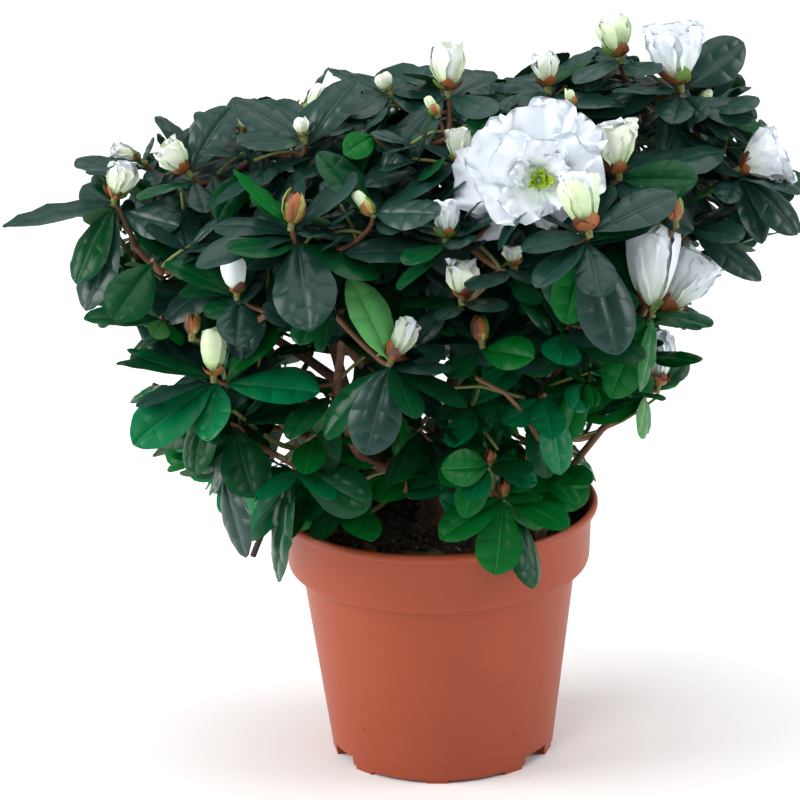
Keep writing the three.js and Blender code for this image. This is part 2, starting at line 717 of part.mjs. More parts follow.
function leafFits(vertices, mass, shoot) {
  const [root, tip, left, right] = vertices;
  const tests = [tip, left, right];
  for (const share of [0.3, 0.5, 0.7, 0.85]) tests.push(root.clone().lerp(tip, share));
  for (const point of tests) {
    if (pastCell(point, mass) > 0 || !clearOfPot(point) || !clearOfLimbs(point, 1.6)) return false;
    if (mass.blooms.some((bloom) => insideBloom(point, bloom))) return false;
    const otherTwigs = mass.twigs.filter((twig) => twig.shoot !== shoot);
    if (otherTwigs.some((twig) => distanceToPath(point, twig.path) < TWIG_ROOT_RADIUS + 1)) return false;
  }
  return mass.leaves.every((other) => !pierces(vertices, other) && !pierces(other, vertices));
}

// The leaves of a shoot, set round it by the golden angle, the younger ones above and more upright
function shootLeaves(shoot, mass) {
  const random = seeded(shoot.seed);
  const solids = [];
  const [first, second] = acrossFrom(shoot.axis);
  const length = LEAF_LENGTH * blend(0.88, 1.1, random());
  const phase = random() * 2 * Math.PI;
  const youngest = FLARING.includes(shoot.bears) ? LEAF_OPEN_UNDER_FLOWER : LEAF_OPEN_YOUNG;
  const high = clampShare(shoot.tip.z, SPREAD_LOW, SPREAD_HIGH);
  for (let index = 0; index < LEAVES_ON_SHOOT; index++) {
    const share = index / (LEAVES_ON_SHOOT - 1);
    const size = length * (index === 0 ? 0.66 : index === 1 ? 0.85 : blend(1.08, 0.86, random()));
    const spread = blend(youngest, LEAF_OPEN_OLD, share) + LEAF_JITTER * (random() - 0.5);
    const open = THREE.MathUtils.degToRad(spread);
    const turn = phase + THREE.MathUtils.degToRad(index * LEAF_TURN + 16 * (random() - 0.5));
    const droop = blend(0.55, 0.1, high) * (0.3 + share);
    const root = shoot.tip.clone().addScaledVector(shoot.axis, -1.5 - LEAF_SPACING * index);
    const aim = shoot.aims[index];
    for (const [swing, lift, shorter] of LEAF_TRIES) {
      let direction = leafDirection(shoot.axis, first, second, turn + swing, open + lift, droop);
      let reach = size * shorter;
      if (aim) {
        direction = aim.clone().normalize().addScaledVector(outwardAt(shoot.tip), 0.15 + 0.5 * lift);
        direction.normalize();
        reach = Math.min(aim.length(), LONGEST_LEAF) * shorter;
      }
      const face = shoot.axis.clone().addScaledVector(UP, 0.5).addScaledVector(direction, -0.2);
      const start = root.clone().addScaledVector(direction, -1);
      const tip = root.clone().addScaledVector(direction, reach);
      const leaf = leafSolid(start, tip, face);
      if (leafFits(leaf.vertices, mass, shoot)) {
        solids.push(leaf.solid);
        mass.leaves.push(leaf.vertices);
        break;
      }
    }
  }
  return solids;
}

// Flowers

function standAlong(geometry, point, axis) {
  const turn = new THREE.Quaternion().setFromUnitVectors(UP, axis);
  geometry.applyQuaternion(turn);
  geometry.translate(point.x, point.y, point.z);
}

function budGeometry(length, radius, sides) {
  const profile = [
    [0, 0],
    [radius * 0.6, length * 0.12],
    [radius, length * 0.5],
    [radius * 0.55, length * 0.85],
    [0, length],
  ];
  return turned(profile, sides);
}

// A cupped or open flower: a funnel whose wall is as thick as the petals drawn together
function bloomGeometry(length, radius, sides) {
  const wall = PETAL_THICKNESS;
  const profile = [
    [0, 0],
    [radius * 0.14, length * 0.18],
    [radius * 0.6, length * 0.66],
    [radius, length],
    [radius - wall * 0.5, length + wall],
    [radius * 0.56, length * 0.66 + wall * 1.6],
    [0, length * 0.42],
  ];
  const geometry = turned(profile, sides);
  const places = geometry.attributes.position;
  for (let i = 0; i < places.count; i++) {
    const x = places.getX(i);
    const y = places.getY(i);
    const far = Math.hypot(x, y) / radius;
    const scale = 1 + 0.1 * far * far * Math.cos(PETALS * Math.atan2(y, x));
    places.setXY(i, x * scale, y * scale);
  }
  return geometry;
}

function shapeBloom(kind) {
  const size = BLOOM_SIZES[kind];
  const shape = FLARING.includes(kind) ? bloomGeometry : budGeometry;
  return shape(size.length, size.radius, size.sides);
}

// The flower at a shoot's tip, turned a little or drawn smaller until it keeps to its mass's space
function shootBloom(shoot, mass) {
  if (shoot.bears === "none") return null;
  const sideways = shoot.axis.clone().lerp(outwardAt(shoot.tip), 0.4).normalize();
  const upwards = shoot.axis.clone().lerp(UP, 0.5).normalize();
  const root = shoot.tip.clone().addScaledVector(shoot.axis, -TWIG_ROOT_RADIUS);
  for (const scale of [1, 0.9, 0.78, 0.64]) {
    for (const axis of [sideways, shoot.axis, upwards, UP]) {
      const geometry = shapeBloom(shoot.bears);
      geometry.scale(scale, scale, scale);
      standAlong(geometry, root, axis);
      if (!bloomFits(geometry, mass)) continue;
      const size = BLOOM_SIZES[shoot.bears];
      mass.blooms.push({ root, axis, length: size.length * scale, radius: size.radius * scale });
      return toSolid(geometry);
    }
  }
  return null;
}

function bloomFits(geometry, mass) {
  const places = geometry.attributes.position;
  for (let i = 0; i < places.count; i++) {
    const point = new THREE.Vector3().fromBufferAttribute(places, i);
    if (pastCell(point, mass) > 0 || !clearOfPot(point)) return false;
  }
  return true;
}

// A mass: one stem from its bough's tip, twigs from it to every shoot, leaves and flowers fused on

function massStem(mass, bough) {
  const tip = bough.path[bough.path.length - 1];
  const before = bough.path[bough.path.length - 2];
  const along = tip.clone().sub(before).normalize();
  const start = tip.clone().addScaledVector(along, GAP);
  const bend = start.clone().addScaledVector(along, start.distanceTo(mass.heart) * 0.5);
  const path = curvePoints(start, bend, mass.heart, 4);
  return { path, radii: taper(bough.tipRadius, TWIG_ROOT_RADIUS * 0.9, path.length) };
}

function twigPath(from, shoot) {
  const span = from.distanceTo(shoot.tip);
  const bend = shoot.tip.clone().addScaledVector(shoot.axis, -span * 0.45);
  return curvePoints(from, bend, shoot.tip, TWIG_STEPS);
}

function passesLimbs(path) {
  const room = BOUGH_ROOT_RADIUS + TWIG_ROOT_RADIUS + GAP;
  return boughs.every((bough) => path.every((point, step) => {
    if (step === 0) return true;
    const middle = point.clone().lerp(path[step - 1], 0.5);
    return distanceToPath(point, bough.path) > room && distanceToPath(middle, bough.path) > room;
  }));
}

// A twig leaves the nearest point of its mass's wood from which it can reach the shoot past every limb
function twigTo(shoot, forks) {
  const ways = forks.map((fork) => {
    const backwards = shoot.tip.clone().sub(fork).normalize().dot(shoot.axis) < -0.2;
    return { path: twigPath(fork, shoot), cost: fork.distanceTo(shoot.tip) + (backwards ? 20 : 0) };
  });
  ways.sort((a, b) => a.cost - b.cost);
  const clear = ways.find((way) => passesLimbs(way.path));
  return (clear ?? ways[0]).path;
}

function growMass(mass) {
  const stem = massStem(mass, mass.bough);
  let solid = limb(stem.path, stem.radii, STEM_SIDES);
  const forks = stem.path.slice(1);
  const shoots = mass.shoots.sort((a, b) => a.tip.distanceTo(mass.heart) - b.tip.distanceTo(mass.heart));
  for (const shoot of shoots) {
    const path = twigTo(shoot, forks);
    forks.push(...path.slice(1, -1));
    mass.twigs.push({ shoot, path });
    const radii = taper(TWIG_ROOT_RADIUS, TWIG_TIP_RADIUS, path.length);
    solid = solid.add(limb(path, radii, TWIG_SIDES));
    const bloom = shootBloom(shoot, mass);
    if (bloom) solid = solid.add(bloom);
  }
  for (const shoot of shoots) {
    for (const leaf of shootLeaves(shoot, mass)) solid = solid.add(leaf);
  }
  for (const bough of boughs) solid = solid.subtract(bough.grown);
  return largestPiece(solid);
}

// Materials

function finish(color, roughness) {
  return new THREE.MeshStandardMaterial({ color, roughness, metalness: 0 });
}

const TERRACOTTA_PLASTIC = finish(0xb4603f, 0.5);
const COMPOST = finish(0x2a2019, 0.95);
const BARK = finish(0x5d4330, 0.85);
const LEAF_GREEN = finish(0x1d5a33, 0.45);

const azalea = new THREE.Group();

function addPiece(name, solid, material) {
  const mesh = new THREE.Mesh(toGeometry(solid), material);
  mesh.name = name;
  azalea.add(mesh);
}

// Assembly

for (const mass of MASSES) mass.heart = heartOf(mass);

const trunkGrown = trunk(GAP);
const boughs = [];

function addBough(mass, path, rootRadius, tipRadius, parentGrown) {
  const radii = taper(rootRadius, tipRadius, path.length);
  const grownRadii = radii.map((radius) => radius + GAP);
  let solid = limb(path, radii, BOUGH_SIDES).subtract(parentGrown).subtract(trunkGrown);
  for (const earlier of boughs) solid = solid.subtract(earlier.grown);
  const grown = limb(path, grownRadii, BOUGH_SIDES);
  const bough = { mass, path, tipRadius, solid: largestPiece(solid), grown };
  boughs.push(bough);
  mass.bough = bough;
}

const tierOf = (mass) => mass.name.split("_")[0];
for (const tier of ["low", "mid"]) {
  const inTier = MASSES.filter((mass) => tierOf(mass) === tier);
  inTier.forEach((mass, index) => {
    const path = boughPath(mass, tier, index);
    addBough(mass, path, BOUGH_ROOT_RADIUS, BOUGH_TIP_RADIUS, trunkGrown);
  });
}
const middleBoughs = boughs.filter((bough) => tierOf(bough.mass) === "mid");
for (const mass of MASSES.filter((each) => tierOf(each) === "top")) {
  const free = middleBoughs.filter((bough) => !bough.carriesTop);
  free.sort((a, b) => a.path[5].distanceTo(mass.heart) - b.path[5].distanceTo(mass.heart));
  const parent = free[0];
  parent.carriesTop = true;
  addBough(mass, upperBoughPath(mass, parent), UPPER_BOUGH_ROOT_RADIUS, UPPER_BOUGH_TIP_RADIUS, parent.grown);
}

const seen = seenShoots();
const shoots = [...seen, ...spreadShoots(seen)];
for (const mass of MASSES) Object.assign(mass, { shoots: [], twigs: [], leaves: [], blooms: [] });
for (const shoot of shoots) {
  shoot.axis = shootAxis(shoot.tip);
  ownerOf(shoot.tip).shoots.push(shoot);
}

addPiece("pot", pot(), TERRACOTTA_PLASTIC);
addPiece("root_ball", rootBall(), COMPOST);
addPiece("trunk", trunk(0), BARK);
for (const bough of boughs) addPiece(`bough_${bough.mass.name}`, bough.solid, BARK);
for (const mass of MASSES) addPiece(`foliage_${mass.name}`, growMass(mass), LEAF_GREEN);

export default azalea;
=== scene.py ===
# A florist's azalea in flower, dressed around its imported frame: the pot, the compost, the wood, every
# leaf and every flower. Lengths are millimetres here and metres in Blender.
import math
from collections import namedtuple

import bpy
import numpy as np
from mathutils import Matrix, Quaternion, Vector


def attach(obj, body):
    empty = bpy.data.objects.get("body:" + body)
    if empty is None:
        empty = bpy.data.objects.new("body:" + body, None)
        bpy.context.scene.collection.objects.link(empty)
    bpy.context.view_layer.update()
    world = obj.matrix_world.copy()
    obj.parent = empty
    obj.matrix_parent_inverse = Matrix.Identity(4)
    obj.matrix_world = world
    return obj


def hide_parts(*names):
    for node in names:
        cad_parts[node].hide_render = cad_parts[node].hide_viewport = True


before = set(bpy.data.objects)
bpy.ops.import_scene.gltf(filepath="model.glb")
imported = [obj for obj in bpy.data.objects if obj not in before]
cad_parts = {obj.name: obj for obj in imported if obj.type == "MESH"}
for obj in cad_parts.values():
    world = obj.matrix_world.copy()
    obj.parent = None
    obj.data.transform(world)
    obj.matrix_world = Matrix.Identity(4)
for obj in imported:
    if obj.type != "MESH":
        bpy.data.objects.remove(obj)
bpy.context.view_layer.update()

MM = 0.001
UP = Vector((0, 0, 1))
WORD = 0xFFFFFFFF

# Viewpoint: pitch, roll and scale of the lens on an 800-square frame
FRAME_SIZE = 800
FRAME_MIDDLE = 400
VIEW_DISTANCE = 2200
VIEW_PITCH = math.radians(19.33)
VIEW_ROLL = math.radians(1.516)
VIEW_SCALE = 2.487
VIEW_AIM = Vector((-14.03, 0, 148.82))
SENSOR_WIDTH = 36
LENS_REACH = VIEW_SCALE * VIEW_DISTANCE

VIEW_AHEAD = Vector((0, math.cos(VIEW_PITCH), -math.sin(VIEW_PITCH)))
LEVEL_UP = Vector((0, math.sin(VIEW_PITCH), math.cos(VIEW_PITCH)))
VIEW_RIGHT = Vector((1, 0, 0)) * math.cos(VIEW_ROLL) - LEVEL_UP * math.sin(VIEW_ROLL)
VIEW_UP = LEVEL_UP * math.cos(VIEW_ROLL) + Vector((1, 0, 0)) * math.sin(VIEW_ROLL)
VIEW_EYE = VIEW_AIM - VIEW_AHEAD * VIEW_DISTANCE

# Pot, the same sizes as the part's
POT_SEGMENTS = 160
POT_HEIGHT = 106.1
POT_WALL = 1.6
POT_FLOOR = 4
RIM_RADIUS = 65
RIM_MOUTH_RADIUS = 63
LIP_DEPTH = 4.6
BAND_TOP_RADIUS = 62.3
BAND_FOOT_RADIUS = 61.3
BAND_FOOT_HEIGHT = 83
BAND_STEP_HEIGHT = 78.6
WALL_EDGE_RADIUS = 45
WALL_EDGE_HEIGHT = 1.1
WALL_FLARE = 0.1355
PAD_RADIUS = 35
CHANNEL_HEIGHT = 2.2
NOTCH_TURNS = [-64, 56, 176]
NOTCH_WIDTH = 15
NOTCH_DEPTH = 12
NOTCH_HEIGHT = 5.2
FOOT_OFFSETS = [-17, 17, 60]
FOOT_WIDTH = 9
FOOT_DEPTH = 3
FOOT_SINK = 0.6
POT_CLEARANCE = 1.5
SHARP_ANGLE = math.radians(38)

# Compost
GAP = 0.3
SOIL_HEIGHT = 98
SOIL_DISH = 1.5
SOIL_SEGMENTS = 110
SOIL_RINGS = 26

# Wood
TRUNK_FOOT = SOIL_HEIGHT + GAP
TRUNK_HEIGHT = 27
TRUNK_RISES = (0, 1.2, 2.4, 4, 6, 9, 12, 15, 18, 21, 24, 26, 27)
TRUNK_FOOT_RADIUS = 10
TRUNK_WAIST_RADIUS = 6.6
TRUNK_TIP_RADIUS = 5
FLARE_HEIGHT = 6
TRUNK_LEAN = Vector((-3, -1, 0))
BOUGH_STEPS = 5
BOUGH_FINE_STEPS = 15
BOUGH_ROOT_RADIUS = 2.7
BOUGH_TIP_RADIUS = 1.8
UPPER_BOUGH_ROOT_RADIUS = 2.1
UPPER_BOUGH_TIP_RADIUS = 1.6
BOUGH_REACH = 0.66
BOUGH_BEND = 24
UPPER_BOUGH_REACH = BOUGH_REACH + 0.04
UPPER_BOUGH_BEND = 0.35
UPPER_BOUGH_LIFT = 10
# How low and middle boughs leave the trunk: the fork's height above the compost, its step between
# neighbours, how steeply the bough rises and how far its tip is lifted
BOUGH_RULES = {"low": (9, 3, 0.75, 6), "mid": (18, 4, 1.5, 0)}
UPPER_BOUGH_FORK = 3
TWIG_ROOT_RADIUS = 1.35
TWIG_TIP_RADIUS = 0.95
FINE_TWIG_RADIUS = 0.8
TWIG_TAPER = 0.8
# Share of a twig's span along which it follows its own shoot
TWIG_BEND = 0.45
TWIG_STEPS = 10
BACKWARDS_COST = 20
# Side twigs: the shortest twig that carries two, the step of it they start from, how far they reach out
# and onward, the depth in the crown and the distance from its edge they keep to, how far they follow
# their own shoot, how much they turn round the twig, and how far their shoots lean out and rise
SIDE_TWIG_LEAST = 18
SIDE_TWIG_START = 5
SIDE_TWIG_OUT = (14, 22)
SIDE_TWIG_ONWARD = (4, 10)
SIDE_TWIG_DEPTH = 0.92
SIDE_TWIG_INSET = 6
SIDE_TWIG_BEND = 6
SIDE_TWIG_TURN = 0.4
SIDE_SHOOT_OUT = 0.7
SIDE_SHOOT_UP = 0.2
# A shoot's reach outwards and upwards, at the crown's foot and at its top
SHOOT_OUT = (1, 0.35)
SHOOT_UP = (0.3, 0.9)
AGES = ["bark", "twig", "green", "dead"]

# The crown, as level rings: height, half width, sideways shift
CROWN_RINGS = [
    (78, 66, -34), (110, 92, -20), (130, 99, -22), (150, 108, -14), (175, 110, -12), (195, 125, -16),
    (220, 146, -8), (250, 141, 8), (277, 106, 24), (295, 72, 58), (308, 36, 84),
]
CROWN_DEPTH = 0.86
BACK_FALL = 0.3
HEART_INSET = 0.62
# How far back a place seen in the frame is looked for
SEARCHED_Y = range(-150, 91, 2)

LOW_HEIGHT = 148
MID_HEIGHT = 212
TOP_HEIGHT = 268
MASSES = [
    ("low_left", -62, LOW_HEIGHT), ("low_front", 14, LOW_HEIGHT), ("low_right", 78, LOW_HEIGHT + 6),
    ("low_back_right", 142, LOW_HEIGHT), ("low_back_left", 218, LOW_HEIGHT), ("mid_left", -80, MID_HEIGHT),
    ("mid_front_left", -22, MID_HEIGHT), ("mid_front_right", 42, MID_HEIGHT),
    ("mid_right", 98, MID_HEIGHT + 8), ("mid_back_right", 156, MID_HEIGHT),
    ("mid_back_left", 216, MID_HEIGHT), ("top_left", -88, TOP_HEIGHT - 10), ("top_front", 4, TOP_HEIGHT),
    ("top_right", 88, TOP_HEIGHT + 8), ("top_back", 184, TOP_HEIGHT),
]

# Leaves
LEAF_LENGTH = 38
LEAF_RATIO = 0.5
LEAF_WIDEST_AT = 0.56
BROAD_LEAF = 26
LONGEST_LEAF = 48
BROADEST_LEAF = 25
LEAVES_ON_SHOOT = 11
LEAVES_ON_SIDE_SHOOT = 6
LEAVES_ADDED_TO_SEEN = 6
LEAF_TURN = 137.5
LEAF_SPACING = 1.7
LEAF_OPEN_YOUNG = 40
LEAF_OPEN_UNDER_FLOWER = 74
LEAF_OPEN_OLD = 98
SIDE_LEAF_SHARE = 0.82
# Leaf sizes from shoot to shoot, from the youngest to the oldest on a shoot, and from leaf to leaf, and a
# leaf's breadth as a share of its length
SHOOT_LEAF_SIZE = (0.82, 1.08)
AGE_LEAF_SIZE = (0.58, 1.06)
ONE_LEAF_SIZE = (0.92, 1.06)
LEAF_BREADTH = (0.43, 0.54)
# How much leaves hang, at the crown's foot and at its top
LEAF_DROOP = (0.55, 0.1)
# Lowest and highest bow along a leaf, curve across it, twist, and widening towards its tip
LEAF_ARCH = (0.1, 0.62)
LEAF_CUP = (-52, 26)
LEAF_TWIST = (-0.3, 0.3)
LEAF_FORM = (-0.35, 0.5)
LEAF_RIPPLE = 1.3

# Greens by tone, from the blue-grey of the crown's top to the palest leaf, a young one's light green
# brightened further by painted light: blade, rib, roughness and gloss
LEAF_COLOURS = {
    "slate": ((0.008, 0.038, 0.029), (0.018, 0.064, 0.046), 0.31, 0.30),
    "deep": ((0.002, 0.054, 0.016), (0.008, 0.090, 0.026), 0.28, 0.16),
    "emerald": ((0.001, 0.138, 0.046), (0.010, 0.200, 0.066), 0.30, 0.14),
    "bright": ((0.001, 0.112, 0.016), (0.012, 0.180, 0.032), 0.32, 0.12),
    "light": ((0.060, 0.240, 0.060), (0.130, 0.360, 0.105), 0.42, 0.28),
    # pale: a young leaf's light green, made about twice as bright as its own as painted light for a leaf in
    # shade
    "pale": ((0.120, 0.440, 0.130), (0.220, 0.520, 0.200), 0.45, 0.25),
}
TONES = list(LEAF_COLOURS)

# Spread shoots, in rounds: tries, lowest and highest, depths in the crown, first seed
SPREAD_LOW = 118
SPREAD_HIGH = 286
SPREAD_APART = 30
SPREADS = [
    (150, SPREAD_LOW, SPREAD_HIGH, [0.92, 0.84, 0.74], 500),
    (60, 225, 290, [0.55, 0.3], 700),
]
SPREAD_BEARS = ["none", "opening", "none", "none", "cup", "none", "opening", "none", "flower", "none"]
# The height below which no shoot is spread at the front, and how far from the axis front and back begin
FRONT_LOW_LIMIT = 168
FRONT = -10
BEHIND = 25
# Where leaves turn from bright to blue-grey: the heights it takes, how much that varies, the shares of
# the way above which they are blue-grey or deep, and how many of the others are emerald
TONE_HEIGHTS = (150, 250)
TONE_VARIES = 0.3
SLATE_ABOVE = 0.62
DEEP_ABOVE = 0.3
EMERALD_SHARE = 0.35
# The first seed of each kind of draw
SEEN_SEED = 100
SIDE_SEED = 900
SIDE_SHOOT_SEED = 2000
FLOWER_SEED = 3000
SPREAD_SEED = 3500
AIMED_SEED = 7000
LITTER_SEED = 77

# Shoots seen from the front: the tip in the frame, how deep it lies in the crown (1 is its surface), its
# green, what it bears (kind, where that ends in the frame, breadth there, tint), and each long leaf's tip
# with its breadth as seen and, where it has one of its own, its green
SEEN_SHOOTS = [
    ((112, 200), 1, "slate", ("opening", (121, 164), 30, "cream"),
     [(2, 227, 22), (99, 174, 22, "deep"), (76, 284, 34, "deep"), (86, 311, 38), (136, 208, 18),
      (179, 226, 34), (184, 262, 24, "deep")]),
    ((142, 160), 1, "slate", ("opening", (112, 150), 24, "cream"),
     [(76, 168, 8), (151, 140, 10), (158, 152, 12, "deep"), (157, 185, 20)]),
    ((188, 172), 1, "slate", ("opening", (162, 145), 34, "cream"),
     [(232, 107, 34), (163, 117, 20), (255, 158, 20), (206, 213, 24), (139, 200, 12, "deep"),
      (161, 135, 14, "deep")]),
    ((240, 132), 1, "slate", ("bud", (243, 112), 14),
     [(196, 112, 16), (232, 98, 26), (276, 141, 14), (262, 172, 18)]),
    ((303, 138), 1, "slate", ("bud", (300, 117), 14, "cream"),
     [(236, 101, 35), (238, 144, 13), (269, 142, 12, "deep"), (357, 79, 38), (345, 134, 14),
      (318, 98, 24)]),
    ((304, 114), 0.85, "slate", ("bud", (318, 87), 12), [(328, 69, 14), (350, 84, 20), (270, 104, 24)]),
    ((290, 225), 1, "slate", ("scaly", (296, 185), 27),
     [(233, 169, 20, "bright"), (253, 192, 14, "bright"), (292, 174, 30), (356, 172, 22), (370, 222, 30),
      (213, 226, 14), (196, 267, 18), (310, 331, 66), (380, 278, 24, "deep"), (226, 250, 20, "deep")]),
    ((372, 212), 0.9, "slate", ("tiny", (355, 192), 9),
     [(440, 214, 30), (454, 163, 16), (362, 177, 24), (409, 186, 10, "deep"), (318, 152, 30, "deep"),
      (404, 230, 18)]),
    ((236, 295), 0.9, "deep", ("bud", (232, 257), 26, "white"),
     [(181, 290, 18), (165, 262, 22), (236, 346, 42, "slate"), (276, 300, 24), (205, 316, 18)]),
    ((212, 378), 1, "emerald", ("bud", (212, 334), 24, "green"),
     [(116, 363, 22, "deep"), (162, 366, 18, "bright"), (136, 407, 10, "slate"), (133, 445, 44),
      (209, 441, 36), (194, 478, 26, "deep"), (320, 392, 34), (277, 318, 24, "bright"),
      (168, 338, 16, "slate"), (127, 349, 10)]),
    ((160, 318), 0.9, "deep", None,
     [(84, 320, 22), (154, 338, 24, "light"), (180, 345, 16, "bright")]),
    ((232, 424), 0.95, "deep", None,
     [(254, 498, 50), (214, 494, 14, "slate"), (251, 519, 20, "emerald"),
      (323, 403, 26), (190, 470, 20)]),
    ((294, 468), 0.9, "emerald", None,
     [(278, 582, 30, "deep"), (371, 506, 50, "deep"), (330, 500, 20), (262, 500, 24)]),
    ((390, 362), 0.95, "deep", ("opening", (411, 324), 22, "cream"),
     # The upright pale leaf: its green carries painted light, since it stands in shade
     [(365, 455, 52, "slate"), (350, 277, 42, "pale"), (415, 419, 25), (324, 437, 26), (467, 408, 20),
      (420, 353, 10), (450, 372, 10, "slate"), (346, 336, 14)]),
    ((483, 343), 0.9, "deep", ("scaly", (479, 312), 14),
     [(442, 303, 16, "slate"), (510, 293, 16, "slate"), (426, 343, 12, "slate"), (499, 328, 10, "light"),
      (558, 314, 18, "slate"), (534, 358, 32, "bright"), (448, 378, 20)]),
    ((462, 300), 0.9, "slate", ("opening", (463, 262), 36, "cream"),
     [(416, 262, 14), (505, 310, 14), (438, 320, 14), (500, 270, 16), (405, 300, 16, "deep")]),
    ((446, 240), 0.9, "slate", ("opening", (447, 204), 25, "white"),
     [(485, 214, 14), (405, 265, 14, "deep"), (403, 228, 20), (400, 290, 18, "deep")]),
    ((540, 190), 1, "slate", ("flower", (539, 170), 150),
     [(460, 238, 14), (500, 250, 14)]),
    ((620, 175), 0.95, "slate", ("cup", (606, 122), 54, "cream"),
     [(664, 150, 22), (698, 180, 40, "deep"), (724, 151, 24), (645, 205, 20)]),
    ((590, 232), 1.12, "slate", ("opening", (578, 178), 38, "green"),
     [(676, 193, 34), (521, 250, 24), (530, 208, 14), (536, 288, 22), (600, 298, 38), (618, 355, 54),
      (566, 324, 42, "bright"), (610, 185, 14)]),
    ((447, 92), 1, "slate", ("opening", (447, 45), 38, "cream"),
     [(386, 170, 34), (497, 113, 24), (494, 72, 18), (393, 87, 18), (410, 86, 8), (470, 118, 10, "deep"),
      (507, 97, 12)]),
    ((390, 92), 0.9, "slate", ("bud", (380, 73), 14),
     [(345, 116, 22), (366, 116, 12), (328, 68, 16), (361, 174, 20, "deep")]),
    ((548, 88), 0.9, "slate", ("opening", (545, 53), 24, "cream"),
     [(590, 59, 13, "deep"), (514, 111, 15), (500, 86, 16), (625, 106, 22), (592, 50, 14)]),
    ((620, 58), 1, "slate", ("opening", (612, 17), 37, "green"),
     [(575, 84, 14), (588, 55, 10), (660, 72, 14), (590, 92, 12)]),
    ((682, 86), 1, "slate", ("cup", (673, 20), 58),
     [(744, 42, 46), (613, 92, 12), (630, 78, 10), (672, 124, 34), (706, 118, 28), (757, 119, 20)]),
    ((703, 104), 0.95, "slate", ("tiny", (708, 88), 12), [(757, 107, 16), (722, 140, 18)]),
    ((738, 168), 1, "slate", ("cup", (791, 147), 62),
     [(762, 244, 30), (797, 235, 26), (725, 203, 26), (690, 203, 8, "light"), (799, 195, 8)]),
    ((660, 388), 0.75, "deep", ("opening", (664, 336), 22, "white"), []),
    ((654, 312), 1, "deep", ("ovoid", (655, 232), 46, "white"),
     [(711, 327, 18), (640, 392, 22, "bright"), (610, 398, 38, "bright"), (606, 330, 24)]),
    ((664, 312), 0.97, "deep", ("cup", (707, 250), 54), [(700, 330, 12)]),
    ((690, 226), 0.9, "slate", None,
     [(761, 281, 26), (726, 218, 13), (742, 240, 16), (735, 205, 16), (650, 240, 14)]),
    ((648, 354), 0.9, "bright", None, [(700, 362, 22), (600, 372, 40, "deep"), (642, 392, 22)]),
    ((653, 390), 0.9, "emerald", None,
     [(580, 418, 38, "bright"), (606, 415, 12), (639, 437, 9, "light"), (648, 434, 11), (663, 401, 8)]),
    ((507, 497), 0.95, "bright", ("scaly", (504, 478), 13),
     [(440, 539, 36), (495, 575, 43), (568, 529, 24), (470, 520, 20, "emerald"), (541, 500, 14)]),
    ((491, 466), 0.9, "bright", ("scaly", (491, 447), 14),
     [(441, 469, 38), (515, 440, 16, "deep"), (532, 472, 20, "deep"), (470, 500, 24, "emerald")]),
    ((458, 164), 0.85, "slate", ("opening", (458, 131), 24, "cream"),
     [(420, 140, 16), (420, 182, 14), (500, 150, 16)]),
    ((515, 268), 0.9, "slate", ("opening", (513, 246), 20, "cream"),
     [(556, 256, 16), (470, 290, 16), (500, 235, 14), (486, 262, 16, "deep"), (535, 305, 18, "deep")]),
    ((330, 300), 0.85, "deep", None, [(300, 345, 26), (345, 255, 18), (322, 352, 16)]),
    ((545, 395), 0.9, "deep", None,
     [(552, 440, 34, "emerald"), (561, 475, 34, "emerald"), (504, 424, 30, "emerald"),
      (590, 372, 26, "bright"), (520, 372, 16)]),
    ((545, 470), 0.86, "bright", None, [(592, 483, 22), (575, 505, 16)]),
    ((338, 492), 0.72, "bright", None,
     [(372, 541, 36), (321, 540, 20, "deep"), (300, 487, 24), (362, 470, 18, "deep")]),
    ((473, 404), 0.8, "emerald", None, [(454, 447, 30), (491, 428, 30, "deep"), (440, 420, 18, "deep")]),
    ((330, 395), 0.85, "deep", None, [(290, 440, 28), (360, 425, 24), (305, 380, 16)]),
    ((420, 430), 0.7, "deep", None, [(392, 485, 22), (440, 490, 20), (404, 410, 18)]),
    ((190, 336), 0.92, "deep", ("scaly", (191, 309), 13), []),
    ((677, 222), 0.96, "slate", ("scaly", (674, 190), 17), []),
    ((436, 112), 0.95, "slate", ("tiny", (427, 96), 10), []),
    ((573, 106), 0.95, "slate", ("tiny", (569, 88), 10), []),
    ((152, 260), 0.98, "deep", None, [(113, 320, 46)]),
    ((514, 508), 0.84, "deep", None, [(533, 589, 28)]),
    ((222, 474), 0.97, "slate", None, [(246, 558, 31)]),
    ((374, 133), 1.02, "bright", None, [(344, 155, 27)]),
]

# The photographed crown's upper and lower edge, as across and down in the frame
UPPER_EDGE = [
    (-20, 230), (0, 228), (50, 195), (80, 162), (110, 138), (150, 136), (165, 112), (205, 106), (240, 97),
    (306, 98), (330, 74), (366, 71), (402, 72), (430, 51), (470, 61), (500, 78), (530, 75), (545, 53),
    (592, 44), (660, 60), (735, 36), (752, 66), (757, 110), (800, 160), (820, 200),
]
LOWER_EDGE = [
    (-20, 232), (0, 234), (66, 236), (84, 322), (112, 330), (116, 368), (126, 374), (134, 446), (190, 482),
    (214, 500), (244, 562), (262, 540), (278, 582), (300, 530), (330, 548), (560, 550), (592, 500),
    (600, 470), (640, 440), (662, 402), (700, 376), (704, 336), (712, 330), (728, 296), (758, 284),
    (764, 246), (800, 238), (820, 238),
]
